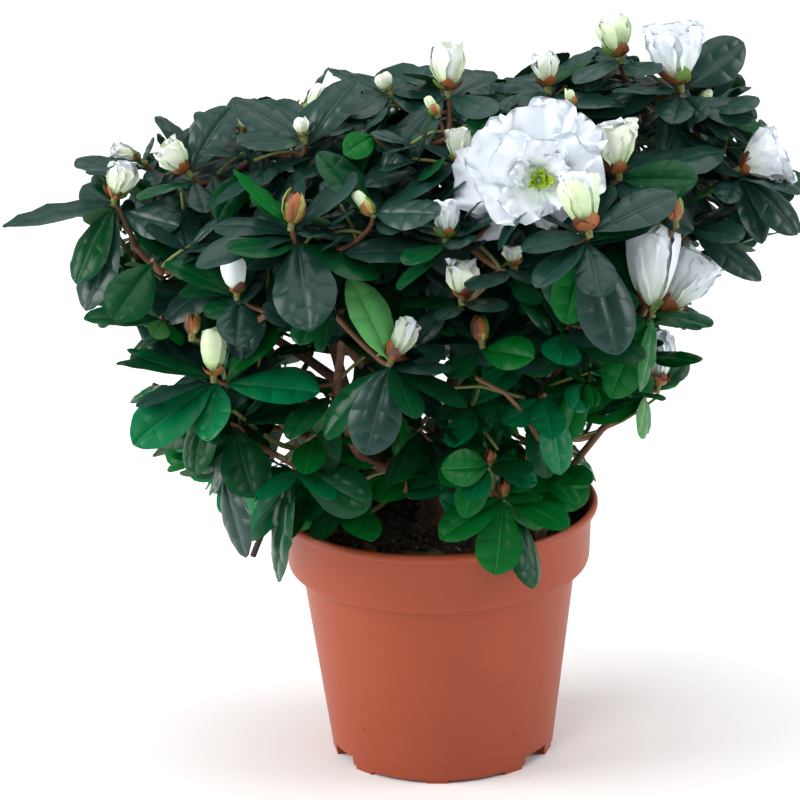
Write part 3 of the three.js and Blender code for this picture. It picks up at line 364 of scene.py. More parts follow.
# Gaps in the crown where the sky or the compost shows: across, down, half width, half height
SKY_GAPS = [
    (160, 272, 9, 9), (190, 366, 16, 10), (344, 358, 20, 12), (327, 394, 9, 11), (421, 432, 5, 4),
    (419, 391, 3, 5), (205, 218, 4, 5), (655, 415, 40, 16), (742, 200, 5, 8), (265, 358, 12, 5),
    (588, 446, 12, 12), (606, 430, 11, 11), (622, 416, 10, 10), (632, 408, 8, 8), (642, 400, 8, 8),
    (308, 366, 10, 6), (336, 384, 12, 26), (300, 340, 8, 8), (520, 440, 5, 18), (288, 432, 8, 12),
    (440, 372, 6, 5), (150, 292, 6, 5), (690, 340, 22, 9), (726, 303, 14, 8), (772, 260, 16, 12),
    (116, 341, 16, 8), (160, 376, 20, 6), (705, 300, 12, 10), (142, 333, 12, 4), (408, 522, 40, 20),
]


def seeded(seed):
    """A repeatable stream of numbers from 0 to 1, the same as the part's."""
    state = seed & WORD

    def draw():
        nonlocal state
        state = (state + 0x6D2B79F5) & WORD
        mix = ((state ^ (state >> 15)) * (state | 1)) & WORD
        mix ^= (mix + ((mix ^ (mix >> 7)) * (mix | 61) & WORD)) & WORD
        return ((mix ^ (mix >> 14)) & WORD) / 2**32

    return draw


def between(low, high, share):
    return low + (high - low) * share


def clamped(value, low, high):
    return min(max(value, low), high)


def share_of(value, low, high):
    return clamped((value - low) / (high - low), 0, 1)


def around(turn, radius, height):
    angle = math.radians(turn)
    return Vector((radius * math.sin(angle), -radius * math.cos(angle), height))


def crown_at(height):
    """The crown's half width and sideways shift at a height."""
    if height <= CROWN_RINGS[0][0]:
        return CROWN_RINGS[0][1:]
    for low, high in zip(CROWN_RINGS, CROWN_RINGS[1:]):
        if height <= high[0]:
            share = (height - low[0]) / (high[0] - low[0])
            return between(low[1], high[1], share), between(low[2], high[2], share)
    return CROWN_RINGS[-1][1:]


def on_crown(turn, height, depth):
    half, shift = crown_at(height)
    point = around(turn, half * depth, height)
    point.y *= CROWN_DEPTH
    point.x += shift
    point.z -= BACK_FALL * max(point.y, 0) * share_of(height, SPREAD_LOW, MID_HEIGHT)
    return point


def crown_share(point):
    half, shift = crown_at(point.z)
    return math.hypot((point.x - shift) / half, point.y / (half * CROWN_DEPTH))


def frame_ray(spot):
    across, down = spot
    right = VIEW_RIGHT * ((across - FRAME_MIDDLE) / LENS_REACH)
    return VIEW_AHEAD + right + VIEW_UP * ((FRAME_MIDDLE - down) / LENS_REACH)


def point_behind(spot, y):
    """The point that lies behind a spot of the frame, so far back."""
    ray = frame_ray(spot)
    return VIEW_EYE + ray * ((y - VIEW_EYE.y) / ray.y)


def seen_at(point):
    """Where a point shows in the frame."""
    off = point - VIEW_EYE
    depth = off.dot(VIEW_AHEAD)
    across = FRAME_MIDDLE + LENS_REACH * off.dot(VIEW_RIGHT) / depth
    return across, FRAME_MIDDLE - LENS_REACH * off.dot(VIEW_UP) / depth


def place_in_crown(spot, depth):
    """The nearest place behind a spot of the frame that lies as deep in the crown as asked."""
    points = [point_behind(spot, y) for y in SEARCHED_Y]
    for point in points:
        if crown_share(point) <= depth:
            return point
    return min(points, key=crown_share)


def edge_at(edge, across):
    for (left, from_down), (right, to_down) in zip(edge, edge[1:]):
        if left <= across <= right:
            return between(from_down, to_down, (across - left) / (right - left))
    return None


def within_outline(point, room):
    """Whether a point keeps inside the photographed crown and off its gaps."""
    across, down = seen_at(point)
    top, foot = edge_at(UPPER_EDGE, across), edge_at(LOWER_EDGE, across)
    if top is None or not top - room < down < foot + room:
        return False
    return not any(
        math.hypot((across - x) / wide, (down - y) / high) < 1 for x, y, wide, high in SKY_GAPS
    )


def curve_points(start, bend, end, steps):
    shares = [step / steps for step in range(steps + 1)]
    return [start * (1 - t) ** 2 + bend * 2 * t * (1 - t) + end * t**2 for t in shares]


def distance_to_path(point, path):
    nearest = math.inf
    for start, end in zip(path, path[1:]):
        span = end - start
        share = clamped((point - start).dot(span) / span.length_squared, 0, 1)
        nearest = min(nearest, (start + span * share - point).length)
    return nearest


def spoke_of(axis, angle):
    """A direction square to an axis, at an angle round it."""
    helper = UP if abs(axis.z) < 0.9 else Vector((1, 0, 0))
    first = helper.cross(axis).normalized()
    second = axis.cross(first).normalized()
    return first * math.cos(angle) + second * math.sin(angle)


def outward_at(point):
    flat = Vector((point.x - crown_at(point.z)[1], point.y, 0))
    return flat.normalized() if flat.length > 0 else Vector((0, -1, 0))


def shoot_axis(point):
    """Low shoots reach outwards, and high ones stand up."""
    rise = share_of(point.z, SPREAD_LOW, SPREAD_HIGH)
    out = outward_at(point) * between(*SHOOT_OUT, rise)
    return (out + UP * between(*SHOOT_UP, rise)).normalized()


# The wood, by the part's own rule


class Mass:
    """A part of the crown with its bough and its shoots."""

    def __init__(self, name, turn, height):
        self.name = name
        self.heart = on_crown(turn, height, HEART_INSET)
        self.tier = name.split("_")[0]
        self.shoots = []
        self.carries_top = False

    def set_bough(self, root, bend, tip, root_radius, tip_radius):
        self.path = curve_points(root, bend, tip, BOUGH_STEPS)
        self.fine_path = curve_points(root, bend, tip, BOUGH_FINE_STEPS)
        self.root_radius = root_radius
        self.tip_radius = tip_radius


masses = [Mass(*row) for row in MASSES]


def masses_of(tier):
    return [mass for mass in masses if mass.tier == tier]


def trunk_centre(height):
    centre = TRUNK_LEAN * ((height - TRUNK_FOOT) / TRUNK_HEIGHT)
    centre.z = height
    return centre


def trunk_radius(height):
    rise = height - TRUNK_FOOT
    if rise < FLARE_HEIGHT:
        share = 1 - rise / FLARE_HEIGHT
        return between(TRUNK_WAIST_RADIUS, TRUNK_FOOT_RADIUS, share * share)
    share = (rise - FLARE_HEIGHT) / (TRUNK_HEIGHT - FLARE_HEIGHT)
    return between(TRUNK_WAIST_RADIUS, TRUNK_TIP_RADIUS, share)


def grow_boughs():
    for tier, (first_rise, step, steepness, lift) in BOUGH_RULES.items():
        for index, mass in enumerate(masses_of(tier)):
            rise = first_rise + step * (index % 2)
            root = trunk_centre(TRUNK_FOOT + rise)
            out = mass.heart - root
            flat = Vector((out.x, out.y, 0)).normalized()
            bend = root + flat * BOUGH_BEND + UP * BOUGH_BEND * steepness
            tip = root + out * BOUGH_REACH
            tip.z += lift
            mass.set_bough(root, bend, tip, BOUGH_ROOT_RADIUS, BOUGH_TIP_RADIUS)
    for mass in masses_of("top"):
        free = [each for each in masses_of("mid") if not each.carries_top]
        parent = min(free, key=lambda each: (each.path[-1] - mass.heart).length)
        parent.carries_top = True
        root = parent.path[UPPER_BOUGH_FORK].copy()
        out = mass.heart - root
        bend = root + out * UPPER_BOUGH_BEND + UP * UPPER_BOUGH_LIFT
        tip = root + out * UPPER_BOUGH_REACH
        mass.set_bough(root, bend, tip, UPPER_BOUGH_ROOT_RADIUS, UPPER_BOUGH_TIP_RADIUS)


grow_boughs()


class Shoot:
    """The end of a twig: where it is, the green of its leaves and what it bears."""

    def __init__(self, tip, tone, seed, bears=None, aims=(), kind="spread"):
        self.tip = tip
        self.tone = tone
        self.seed = seed
        self.bears = bears
        self.aims = aims
        self.kind = kind
        self.axis = shoot_axis(tip)


def tone_by_height(point, random):
    """Blue-grey leaves at the top of the crown, dark ones at its middle, bright ones below."""
    rise = share_of(point.z, *TONE_HEIGHTS) + TONE_VARIES * (random() - 0.5)
    if rise > SLATE_ABOVE:
        return "slate"
    if rise > DEEP_ABOVE:
        return "deep"
    return "emerald" if random() < EMERALD_SHARE else "bright"


def spread_shoots(taken, tries, low, high, depths, first_seed):
    """Shoots wound round the crown by the golden angle, where there's room between those that exist."""
    made = []
    for index in range(tries):
        random = seeded(SPREAD_SEED + first_seed + index)
        height = between(low, high, (index + random()) / tries)
        tip = on_crown(index * LEAF_TURN, height, depths[index % len(depths)])
        if tip.y < FRONT and height < FRONT_LOW_LIMIT:
            continue
        if any((shoot.tip - tip).length < SPREAD_APART for shoot in taken + made):
            continue
        behind = tip.y > BEHIND and tip.z > FRONT_LOW_LIMIT
        kind = SPREAD_BEARS[len(made) % len(SPREAD_BEARS)] if behind else "none"
        bears = None if kind == "none" else (kind, None, None)
        made.append(Shoot(tip, tone_by_height(tip, random), first_seed + index, bears))
    return made


shoots = []
for number, (spot, depth, tone, bears, aims) in enumerate(SEEN_SHOOTS):
    shoots.append(Shoot(place_in_crown(spot, depth), tone, SEEN_SEED + number, bears, aims, "seen"))
for spread in SPREADS:
    shoots += spread_shoots(shoots, *spread)
for shoot in shoots:
    owner = min(masses, key=lambda mass: (shoot.tip - mass.heart).length)
    owner.shoots.append(shoot)


def passes_limbs(path):
    room = BOUGH_ROOT_RADIUS + TWIG_ROOT_RADIUS + GAP
    points = path[1:] + [(end + start) / 2 for start, end in zip(path, path[1:])]
    return all(distance_to_path(point, mass.path) > room for point in points for mass in masses)


def twig_path(fork, shoot, steps=2):
    bend = shoot.tip - shoot.axis * (shoot.tip - fork).length * TWIG_BEND
    return curve_points(fork, bend, shoot.tip, steps)


def twig_fork(shoot, forks):
    """The nearest point of the mass's wood from which a twig reaches the shoot past every limb."""

    def cost(fork):
        backwards = (shoot.tip - fork).normalized().dot(shoot.axis) < -0.2
        return (fork - shoot.tip).length + (BACKWARDS_COST if backwards else 0)

    ranked = sorted(forks, key=cost)
    return next((fork for fork in ranked if passes_limbs(twig_path(fork, shoot))), ranked[0])


# Each limb is its path, its radius at both ends and its age
limbs = []
side_shoots = []


def grow_twigs(mass):
    tip, before = mass.path[-1], mass.path[-2]
    bend = tip + (tip - before).normalized() * ((tip - mass.heart).length * 0.5)
    limbs.append((curve_points(tip, bend, mass.heart, 8), mass.tip_radius, TWIG_ROOT_RADIUS, "bark"))
    forks = curve_points(tip, bend, mass.heart, 4)[1:]
    mass.shoots.sort(key=lambda shoot: (shoot.tip - mass.heart).length)
    for shoot in mass.shoots:
        fork = twig_fork(shoot, forks)
        forks.extend(twig_path(fork, shoot)[1:-1])
        path = twig_path(fork, shoot, TWIG_STEPS)
        limbs.append((path, TWIG_ROOT_RADIUS, TWIG_TIP_RADIUS, "twig"))
        if (shoot.tip - fork).length >= SIDE_TWIG_LEAST:
            add_side_shoots(mass, shoot, path)


def add_side_shoots(mass, shoot, path):
    """Finer twigs leave a shoot's twig on both sides and stay inside the crown."""
    random = seeded(SIDE_SEED + shoot.seed)
    for way in (0, 1):
        start = path[SIDE_TWIG_START + way]
        spoke = spoke_of(shoot.axis, math.pi * way + 2 * math.pi * random() * SIDE_TWIG_TURN)
        tip = start + spoke * between(*SIDE_TWIG_OUT, random())
        tip += shoot.axis * between(*SIDE_TWIG_ONWARD, random())
        hidden = crown_share(tip) <= SIDE_TWIG_DEPTH and within_outline(tip, -SIDE_TWIG_INSET)
        if not hidden or not clear_of_pot(tip):
            continue
        seed = SIDE_SHOOT_SEED + 10 * shoot.seed + way
        made = Shoot(tip, tone_by_height(tip, random), seed, kind="side")
        made.axis = (shoot.axis + spoke * SIDE_SHOOT_OUT + UP * SIDE_SHOOT_UP).normalized()
        made.mass = mass
        path_out = curve_points(start, start + made.axis * SIDE_TWIG_BEND, tip, 5)
        limbs.append((path_out, FINE_TWIG_RADIUS, FINE_TWIG_RADIUS * TWIG_TAPER, "green"))
        side_shoots.append(made)


# The pot's outer face from its foot to its rim, as radius and height
WALL_STEP_RADIUS = WALL_EDGE_RADIUS + WALL_FLARE * (BAND_STEP_HEIGHT - WALL_EDGE_HEIGHT)
LIP_FOOT = POT_HEIGHT - LIP_DEPTH
POT_OUTSIDE = [
    (WALL_EDGE_RADIUS, WALL_EDGE_HEIGHT), (WALL_STEP_RADIUS, BAND_STEP_HEIGHT),
    (BAND_FOOT_RADIUS - 2.2, BAND_STEP_HEIGHT + 0.5), (BAND_FOOT_RADIUS - 0.5, BAND_STEP_HEIGHT + 2),
    (BAND_FOOT_RADIUS, BAND_FOOT_HEIGHT), (BAND_TOP_RADIUS, LIP_FOOT), (RIM_RADIUS - 1, LIP_FOOT + 0.4),
    (RIM_RADIUS, LIP_FOOT + 1.6), (RIM_RADIUS, POT_HEIGHT - 1.4), (RIM_RADIUS - 0.8, POT_HEIGHT - 0.2),
]


def pot_radius_at(height):
    if height > POT_HEIGHT or height < 0:
        return 0
    for (low_radius, low), (high_radius, high) in zip(POT_OUTSIDE, POT_OUTSIDE[1:]):
        if height <= high:
            return between(low_radius, high_radius, share_of(height, low, high))
    return RIM_RADIUS


def clear_of_pot(point):
    if point.z > POT_HEIGHT + POT_CLEARANCE:
        return True
    return math.hypot(point.x, point.y) > pot_radius_at(point.z) + POT_CLEARANCE


for mass in masses:
    grow_twigs(mass)

# Twigs seen from the front: the frame points they pass, from the outer end inwards, the depth of that
# end in the crown, their radius and age
SEEN_TWIGS = [
    ([(655, 388), (627, 408), (602, 429), (577, 460), (560, 480)], 0.9, 1.75, "twig"),
    ([(476, 378), (505, 393), (516, 405), (530, 425)], 0.86, 1.0, "twig"),
    ([(343, 340), (338, 375), (335, 402), (350, 440)], 0.74, 2.0, "bark"),
    ([(280, 422), (296, 444), (322, 470)], 0.8, 1.3, "twig"),
    ([(305, 400), (321, 421), (345, 450)], 0.7, 1.0, "twig"),
    ([(432, 412), (402, 446), (404, 480)], 0.6, 1.3, "twig"),
    ([(531, 428), (531, 462), (520, 490)], 0.5, 2.6, "bark"),
    ([(108, 222), (127, 250), (155, 272), (174, 291), (190, 311)], 0.93, 1.3, "green"),
    ([(182, 192), (186, 224), (191, 250), (196, 271), (210, 300)], 0.9, 1.1, "green"),
    ([(278, 455), (303, 467), (319, 470), (331, 483), (338, 496)], 0.84, 1.1, "green"),
    ([(213, 380), (222, 394), (233, 410), (258, 430)], 0.93, 1.1, "green"),
    ([(394, 374), (425, 385), (440, 394), (450, 420)], 0.8, 0.9, "green"),
    ([(450, 388), (480, 386), (505, 393)], 0.8, 0.8, "green"),
    ([(660, 395), (640, 410)], 0.9, 0.7, "green"),
]
# The dry stub that hangs past the left rim, with the nub on its side
STUB_SPOTS = [(253, 556), (257, 546), (262, 534), (266, 523), (276, 500)]
STUB_NUB = [(264, 528), (257, 522)]
STUB_Y = -25
# A seen twig: how much further back each spot lies, its root's girth, how far below its inner end the
# wood is looked for, and what each millimetre off that height costs
INWARD_STEP = 3
TWIG_SWELL = 1.15
WOOD_BELOW = 12
LEVEL_COST = 2


def reach_wood(path):
    """Runs a path on from its inner end, by an easy bend, to the nearest wood a little below."""
    wood = [point for mass in masses for point in mass.fine_path]
    inner, before = path[-1], path[-2]
    wish = inner.z - WOOD_BELOW
    root = min(wood, key=lambda point: (point - inner).length + LEVEL_COST * abs(point.z - wish))
    bend = inner + (inner - before).normalized() * (root - inner).length * TWIG_BEND
    return path + curve_points(inner, bend, root, 6)[1:]


for spots, depth, radius, age in SEEN_TWIGS:
    outer = place_in_crown(spots[0], depth)
    path = [point_behind(spot, outer.y + INWARD_STEP * i) for i, spot in enumerate(spots)]
    limbs.append((reach_wood(path), radius * TWIG_TAPER, radius * TWIG_SWELL, age))

# Flowers: each kind's usual length and radius, how a bloom sits on its shoot, and the open flower's way
# of facing the viewer. A bloom is its kind, root, axis, length, radius and shoot.
BLOOM_SIZES = {
    "tiny": (11, 3), "bud": (17, 4.6), "scaly": (17, 5.4), "opening": (19, 7), "ovoid": (30, 10),
    "cup": (28, 12), "flower": (30, 30),
}
BLOOM_NOD = 0.1
BLOOM_OUTWARD = 0.4
BLOOM_SINK = 1.2
BLOOM_STRETCH = 1.04
LEAST_BLOOM = 5
FLOWER_FACING = 0.9
FLOWER_RISE = 0.36
FLOWER_DEPTH = 20
blooms = []


def set_bloom(shoot):
    kind, aim, breadth = shoot.bears[:3]
    length, radius = BLOOM_SIZES[kind]
    axis = shoot.axis.lerp(outward_at(shoot.tip), BLOOM_OUTWARD).normalized()
    if not aim and not within_outline(shoot.tip + axis * length, -VIEW_SCALE * radius):
        shoot.bears = None
        return
    if kind == "flower" and aim:
        axis = (-VIEW_AHEAD * FLOWER_FACING + UP * FLOWER_RISE).normalized()
        length, radius = FLOWER_DEPTH, breadth / VIEW_SCALE / 2
    elif aim:
        across = point_behind(aim, shoot.tip.y) - shoot.tip
        length = max(across.length * BLOOM_STRETCH, LEAST_BLOOM)
        radius = breadth / VIEW_SCALE / 2
        flat = (across - VIEW_AHEAD * across.dot(VIEW_AHEAD)).normalized()
        axis = (flat - VIEW_AHEAD * BLOOM_NOD).normalized()
    root = shoot.tip - shoot.axis * BLOOM_SINK
    blooms.append((kind, root, axis, length, radius, shoot))


for shoot in shoots:
    if shoot.bears:
        set_bloom(shoot)

# Blades: leaves, petals, scales and litter. Lengths are in millimetres, arch and twist in radians from
# root to tip, and cup in radians per metre of breadth
Blade = namedtuple("Blade", "root along face length breadth arch cup twist ripple tone form", defaults=[0])
leaf_rows = {"low": [], "mid": [], "top": [], "broad": []}
leaf_quads = []
kept_spots = []
# Leaves of a shoot may touch as far as this share of their length, and only near ones are compared
ROOT_SHARE = 0.25
NEIGHBOUR_REACH = 46
# Where along a kept leaf or bloom its spots lie, and how much broader a leaf counts that may hide them
KEPT_SHARES = (0.35, 0.6, 0.85)
SIDE_MARGIN = 0.15
# Room round a bloom, the foot of it that leaves may touch, and its girth there and at the least
BLOOM_ROOM = 1
BLOOM_FOOT = 2
BLOOM_FOOT_GIRTH = 0.2
BLOOM_LEAST_GIRTH = 0.3
NEARLY_PARALLEL = 1e-9
# Where a leaf is tested, as a share of the way from one corner to another
ROOT, TIP, LEFT, RIGHT = range(4)
LEAF_TESTS = [
    (ROOT, TIP, 1), (ROOT, LEFT, 1), (ROOT, RIGHT, 1), (ROOT, TIP, 0.3), (ROOT, TIP, 0.55), (ROOT, TIP, 0.8),
    (LEFT, TIP, 0.5), (RIGHT, TIP, 0.5), (LEFT, ROOT, 0.4), (RIGHT, ROOT, 0.4),
]


def crossing(starts, ends, corners):
    """Whether any of some segments passes through any of some triangles."""
    a, b, c = corners[:, 0], corners[:, 1], corners[:, 2]
    edge1, edge2 = b - a, c - a
    way = (ends - starts)[:, None, :]
    p = np.cross(way, edge2[None])
    det = np.einsum("tk,stk->st", edge1, p)
    det = np.where(np.abs(det) < NEARLY_PARALLEL, np.inf, det)
    s = starts[:, None, :] - a[None]
    u = np.einsum("stk,stk->st", s, p) / det
    q = np.cross(s, np.broadcast_to(edge1[None], s.shape))
    v = np.einsum("stk,stk->st", np.broadcast_to(way, q.shape), q) / det
    t = np.einsum("tk,stk->st", edge2, q) / det
    return bool(((u > 0) & (v > 0) & (u + v < 1) & (t > 0) & (t < 1)).any())


def quad_edges(quads):
    root, tip, left, right = (quads[:, i] for i in range(4))
    collars = [root + (other - root) * ROOT_SHARE for other in (left, right, tip)]
    starts = np.concatenate([*collars[:2], left, right, collars[2]])
    return starts, np.concatenate([left, right, tip, tip, tip])


def quad_triangles(quads):
    root, tip, left, right = (quads[:, i] for i in range(4))
    return np.concatenate([np.stack([root, left, tip], 1), np.stack([root, tip, right], 1)])


def pierces(quad):
    """Whether a leaf would pass through one that is already set."""
    if not leaf_quads:
        return False
    others = np.array(leaf_quads)
    apart = np.linalg.norm(others[:, :2].mean(1) - quad[:2].mean(0), axis=1)
    others = others[apart < NEIGHBOUR_REACH]
    if not len(others):
        return False
    one = quad[None]
    if crossing(*quad_edges(one), quad_triangles(others)):
        return True
    return crossing(*quad_edges(others), quad_triangles(one))


def inside_bloom(point):
    for _, root, axis, length, radius, _ in blooms:
        rise = (point - root).dot(axis)
        if rise < BLOOM_FOOT or rise > length + BLOOM_ROOM:
            continue
        off = (point - root - axis * rise).length
        girth = clamped(rise / length + BLOOM_FOOT_GIRTH, BLOOM_LEAST_GIRTH, 1)
        if off < radius * girth + BLOOM_ROOM:
            return True
    return False


def keep_in_view(start, end):
    """Notes spots between two points that no leaf grown by the rule may hide from the viewer."""
    for share in KEPT_SHARES:
        point = start.lerp(end, share)
        kept_spots.append((*seen_at(point), point.dot(VIEW_AHEAD)))


def hides_kept(quad):
    """Whether a leaf would lie before a leaf or a bloom that the photograph shows."""
    root, tip, left, right = (Vector(corner) for corner in quad)
    spots = np.array(kept_spots)
    wide_left, wide_right = left.lerp(right, -SIDE_MARGIN), right.lerp(left, -SIDE_MARGIN)
    corners = [seen_at(point) for point in (root, wide_left, tip, wide_right)]
    sides = []
    for (ax, ay), (bx, by) in zip(corners, corners[1:] + corners[:1]):
        sides.append((bx - ax) * (spots[:, 1] - ay) > (by - ay) * (spots[:, 0] - ax))
    covered = np.all(sides, 0) | ~np.any(sides, 0)
    return bool((covered & (spots[:, 2] > root.lerp(tip, 0.5).dot(VIEW_AHEAD))).any())


def leaf_quad(root, chord, face, length, breadth):
    """A leaf's root, tip and two sides."""
    side = face.cross(chord).normalized()
    middle = root + chord * length * LEAF_WIDEST_AT
    return np.array([root, root + chord * length, middle + side * breadth / 2, middle - side * breadth / 2])


def leaf_fits(quad, watch):
    """Whether a leaf is clear of the pot, blooms and leaves and, if watched, keeps to the photograph."""
    corners = [Vector(corner) for corner in quad]
    for first, last, share in LEAF_TESTS:
        point = corners[first].lerp(corners[last], share)
        if not clear_of_pot(point) or inside_bloom(point):
            return False
        if watch and not within_outline(point, 0):
            return False
    if watch and hides_kept(quad):
        return False
    return not pierces(quad)


def square_to(chord, face):
    return (face - chord * face.dot(chord)).normalized()


def add_leaf(group, root, chord, face, length, breadth, tone, random):
    """A leaf whose tip lies at the end of its chord, bowed by its arch."""
    face = square_to(chord, face)
    arch = between(*LEAF_ARCH, random())
    half = arch / 2
    along = chord * math.cos(half) + face * math.sin(half)
    upper = face * math.cos(half) - chord * math.sin(half)
    true_length = length * half / math.sin(half)
    cup, twist, form = (between(*limits, random()) for limits in (LEAF_CUP, LEAF_TWIST, LEAF_FORM))
    number = TONES.index(tone)
    leaf = Blade(root, along, upper, true_length, breadth, arch, cup, twist, LEAF_RIPPLE, number, form)
    leaf_rows[group].append(leaf)


def face_for(chord, root, openness, shoot):
    """The upper face of a leaf, turned so that it shows the breadth it has in the frame."""
    sight = (root - VIEW_EYE).normalized()
    full = (-sight + chord * sight.dot(chord)).normalized()
    edge = chord.cross(full)
    angle = math.acos(clamped(openness, LEAST_OPENNESS, 1))
    wish = shoot.axis + UP * FACE_RISE
    turned = [full * math.cos(angle) + edge * math.sin(angle) * way for way in (1, -1)]
    return max(turned, key=lambda each: each.dot(wish))


# An aimed leaf: the least share of its breadth that shows, and how much its face turns up
LEAST_OPENNESS = 0.16
FACE_RISE = 0.8
# How much longer it is than it shows, usually and at the least; what a short one gains towards the usual
# length; its breadth at the most, as a share of its length; and the distance between such leaves
AIMED_STRETCH = 1.06
LEAST_STRETCH = 1.01
AIMED_EXTRA = 9
USUAL_LENGTH = 34
BROADEST_RATIO = 0.56
AIMED_SPACING = 1.1
# How far it may swing towards the viewer or away, to stay clear of its neighbours
AIM_SHIFTS = (0, 5, -5, 10, -10, 16, -16)
# Ways another leaf may swing round, lift and shorten for the same reason, and how many degrees its turn
# and its opening vary
LEAF_TRIES = [
    (0, 0, 1), (0.35, 0, 0.95), (-0.35, 0, 0.95), (0, -0.5, 0.85), (0.7, -0.3, 0.8), (-0.7, -0.3, 0.8),
    (0, -0.8, 0.7), (1.1, 0, 0.8), (-1.1, 0, 0.8),
]
TURN_VARIES = 16
OPENING_VARIES = 12
# How many times sooner than its last leaf a shoot's leaves are full grown
GROWN_SOONER = 2.2
# Share of leaves in their shoot's own green, and that with those a step brighter
OWN_SHADE = 0.74
BRIGHTER_SHADE = 0.87


def aimed_leaf(shoot, mass, aim, index, random):
    """A leaf whose tip shows at its place in the frame. It leans along the line of sight for its length."""
    spot, seen_breadth = aim[:2], aim[2] / VIEW_SCALE
    tone = aim[3] if len(aim) > 3 else shoot.tone
    root = shoot.tip - shoot.axis * (1 + AIMED_SPACING * index)
    flat = point_behind(spot, root.y) - root
    usual = min(flat.length + AIMED_EXTRA, USUAL_LENGTH)
    natural = max(flat.length * AIMED_STRETCH, seen_breadth / BROADEST_RATIO, usual)
    length = min(natural, max(LONGEST_LEAF, flat.length * LEAST_STRETCH))
    lean = math.sqrt(max(length**2 - flat.length**2, 0))
    sight = frame_ray(spot).normalized()
    away = seen_at(root)[1] > aim[1] or shoot.axis.y > 0.2
    breadth = clamped(LEAF_RATIO * length, seen_breadth, BROADEST_LEAF)
    tries = []
    for shift in AIM_SHIFTS:
        reach = flat + sight * ((lean if away else -lean) + shift)
        chord = reach.normalized()
        face = face_for(chord, root, seen_breadth / breadth, shoot)
        tries.append((leaf_quad(root, chord, face, reach.length, breadth), chord, face, reach))
        if leaf_fits(tries[-1][0], False):
            break
    else:
        tries.append(tries[0])
    quad, chord, face, reach = tries[-1]
    leaf_quads.append(quad)
    keep_in_view(root, root + reach)
    group = "broad" if aim[2] >= BROAD_LEAF else mass.tier
    add_leaf(group, root, chord, face, reach.length, breadth, tone, random)


def shade_near(tone, random):
    """Mostly the shoot's own green, now and then the one beside it."""
    pick = random()
    if pick < OWN_SHADE:
        return tone
    step = 1 if pick < BRIGHTER_SHADE else -1
    return TONES[clamped(TONES.index(tone) + step, 0, TONES.index("bright"))]


def rule_leaves(shoot, mass, count):
    """Leaves set round a shoot by the golden angle, the younger ones above and more upright."""
    random = seeded(shoot.seed)
    length = LEAF_LENGTH * between(*SHOOT_LEAF_SIZE, random())
    if shoot.kind == "side":
        length *= SIDE_LEAF_SHARE
    phase = random() * 2 * math.pi
    flaring = shoot.bears is not None and shoot.bears[0] in ("cup", "flower")
    youngest = LEAF_OPEN_UNDER_FLOWER if flaring else LEAF_OPEN_YOUNG
    high = share_of(shoot.tip.z, SPREAD_LOW, SPREAD_HIGH)
    for index in range(count):
        share = index / max(count - 1, 1)
        grown = min(share * GROWN_SOONER, 1)
        size = length * between(*AGE_LEAF_SIZE, grown) * between(*ONE_LEAF_SIZE, random())
        spread = between(youngest, LEAF_OPEN_OLD, share) + OPENING_VARIES * (random() - 0.5)
        turn = phase + math.radians(index * LEAF_TURN + TURN_VARIES * (random() - 0.5))
        droop = between(*LEAF_DROOP, high) * (0.3 + share)
        root = shoot.tip - shoot.axis * (1 + LEAF_SPACING * index)
        for swing, lift, shorter in LEAF_TRIES:
            opened = math.radians(spread) + lift
            spoke = spoke_of(shoot.axis, turn + swing)
            chord = shoot.axis * math.cos(opened) + spoke * math.sin(opened)
            chord.z -= droop
            chord.normalize()
            if shoot.kind == "seen" and chord.dot(VIEW_AHEAD) < 0.1:
                continue
            reach = size * shorter
            face = square_to(chord, shoot.axis + UP * 0.5 - chord * 0.2)
            quad = leaf_quad(root, chord, face, reach, LEAF_RATIO * reach)
            if leaf_fits(quad, True):
                leaf_quads.append(quad)
                breadth = reach * between(*LEAF_BREADTH, random())
                tone = shade_near(shoot.tone, random)
                add_leaf(mass.tier, root, chord, face, reach, breadth, tone, random)
                break


def grow_leaves():
    for mass in masses:
        for shoot in mass.shoots:
            random = seeded(AIMED_SEED + shoot.seed)
            for index, aim in enumerate(shoot.aims):
                aimed_leaf(shoot, mass, aim, index, random)
    for _, root, axis, length, _, shoot in blooms:
        if shoot.kind == "seen":
            keep_in_view(root, root + axis * length)
    for mass in masses:
        for shoot in mass.shoots:
            if len(shoot.aims) != 1:
                rule_leaves(shoot, mass, LEAVES_ADDED_TO_SEEN if shoot.kind == "seen" else LEAVES_ON_SHOOT)
    for shoot in side_shoots:
        rule_leaves(shoot, shoot.mass, LEAVES_ON_SIDE_SHOOT)


grow_leaves()

# Node trees


class Value:
    """A node's output. Adding, taking away, multiplying and dividing add math nodes."""

    def __init__(self, wiring, socket):
        self.wiring = wiring
        self.socket = socket

    def __add__(self, other):
        return self.wiring.math("ADD", self, other)

    def __sub__(self, other):
        return self.wiring.math("SUBTRACT", self, other)

    def __rsub__(self, other):
        return self.wiring.math("SUBTRACT", other, self)

    def __mul__(self, other):
        return self.wiring.math("MULTIPLY", self, other)

    def __truediv__(self, other):
        return self.wiring.math("DIVIDE", self, other)


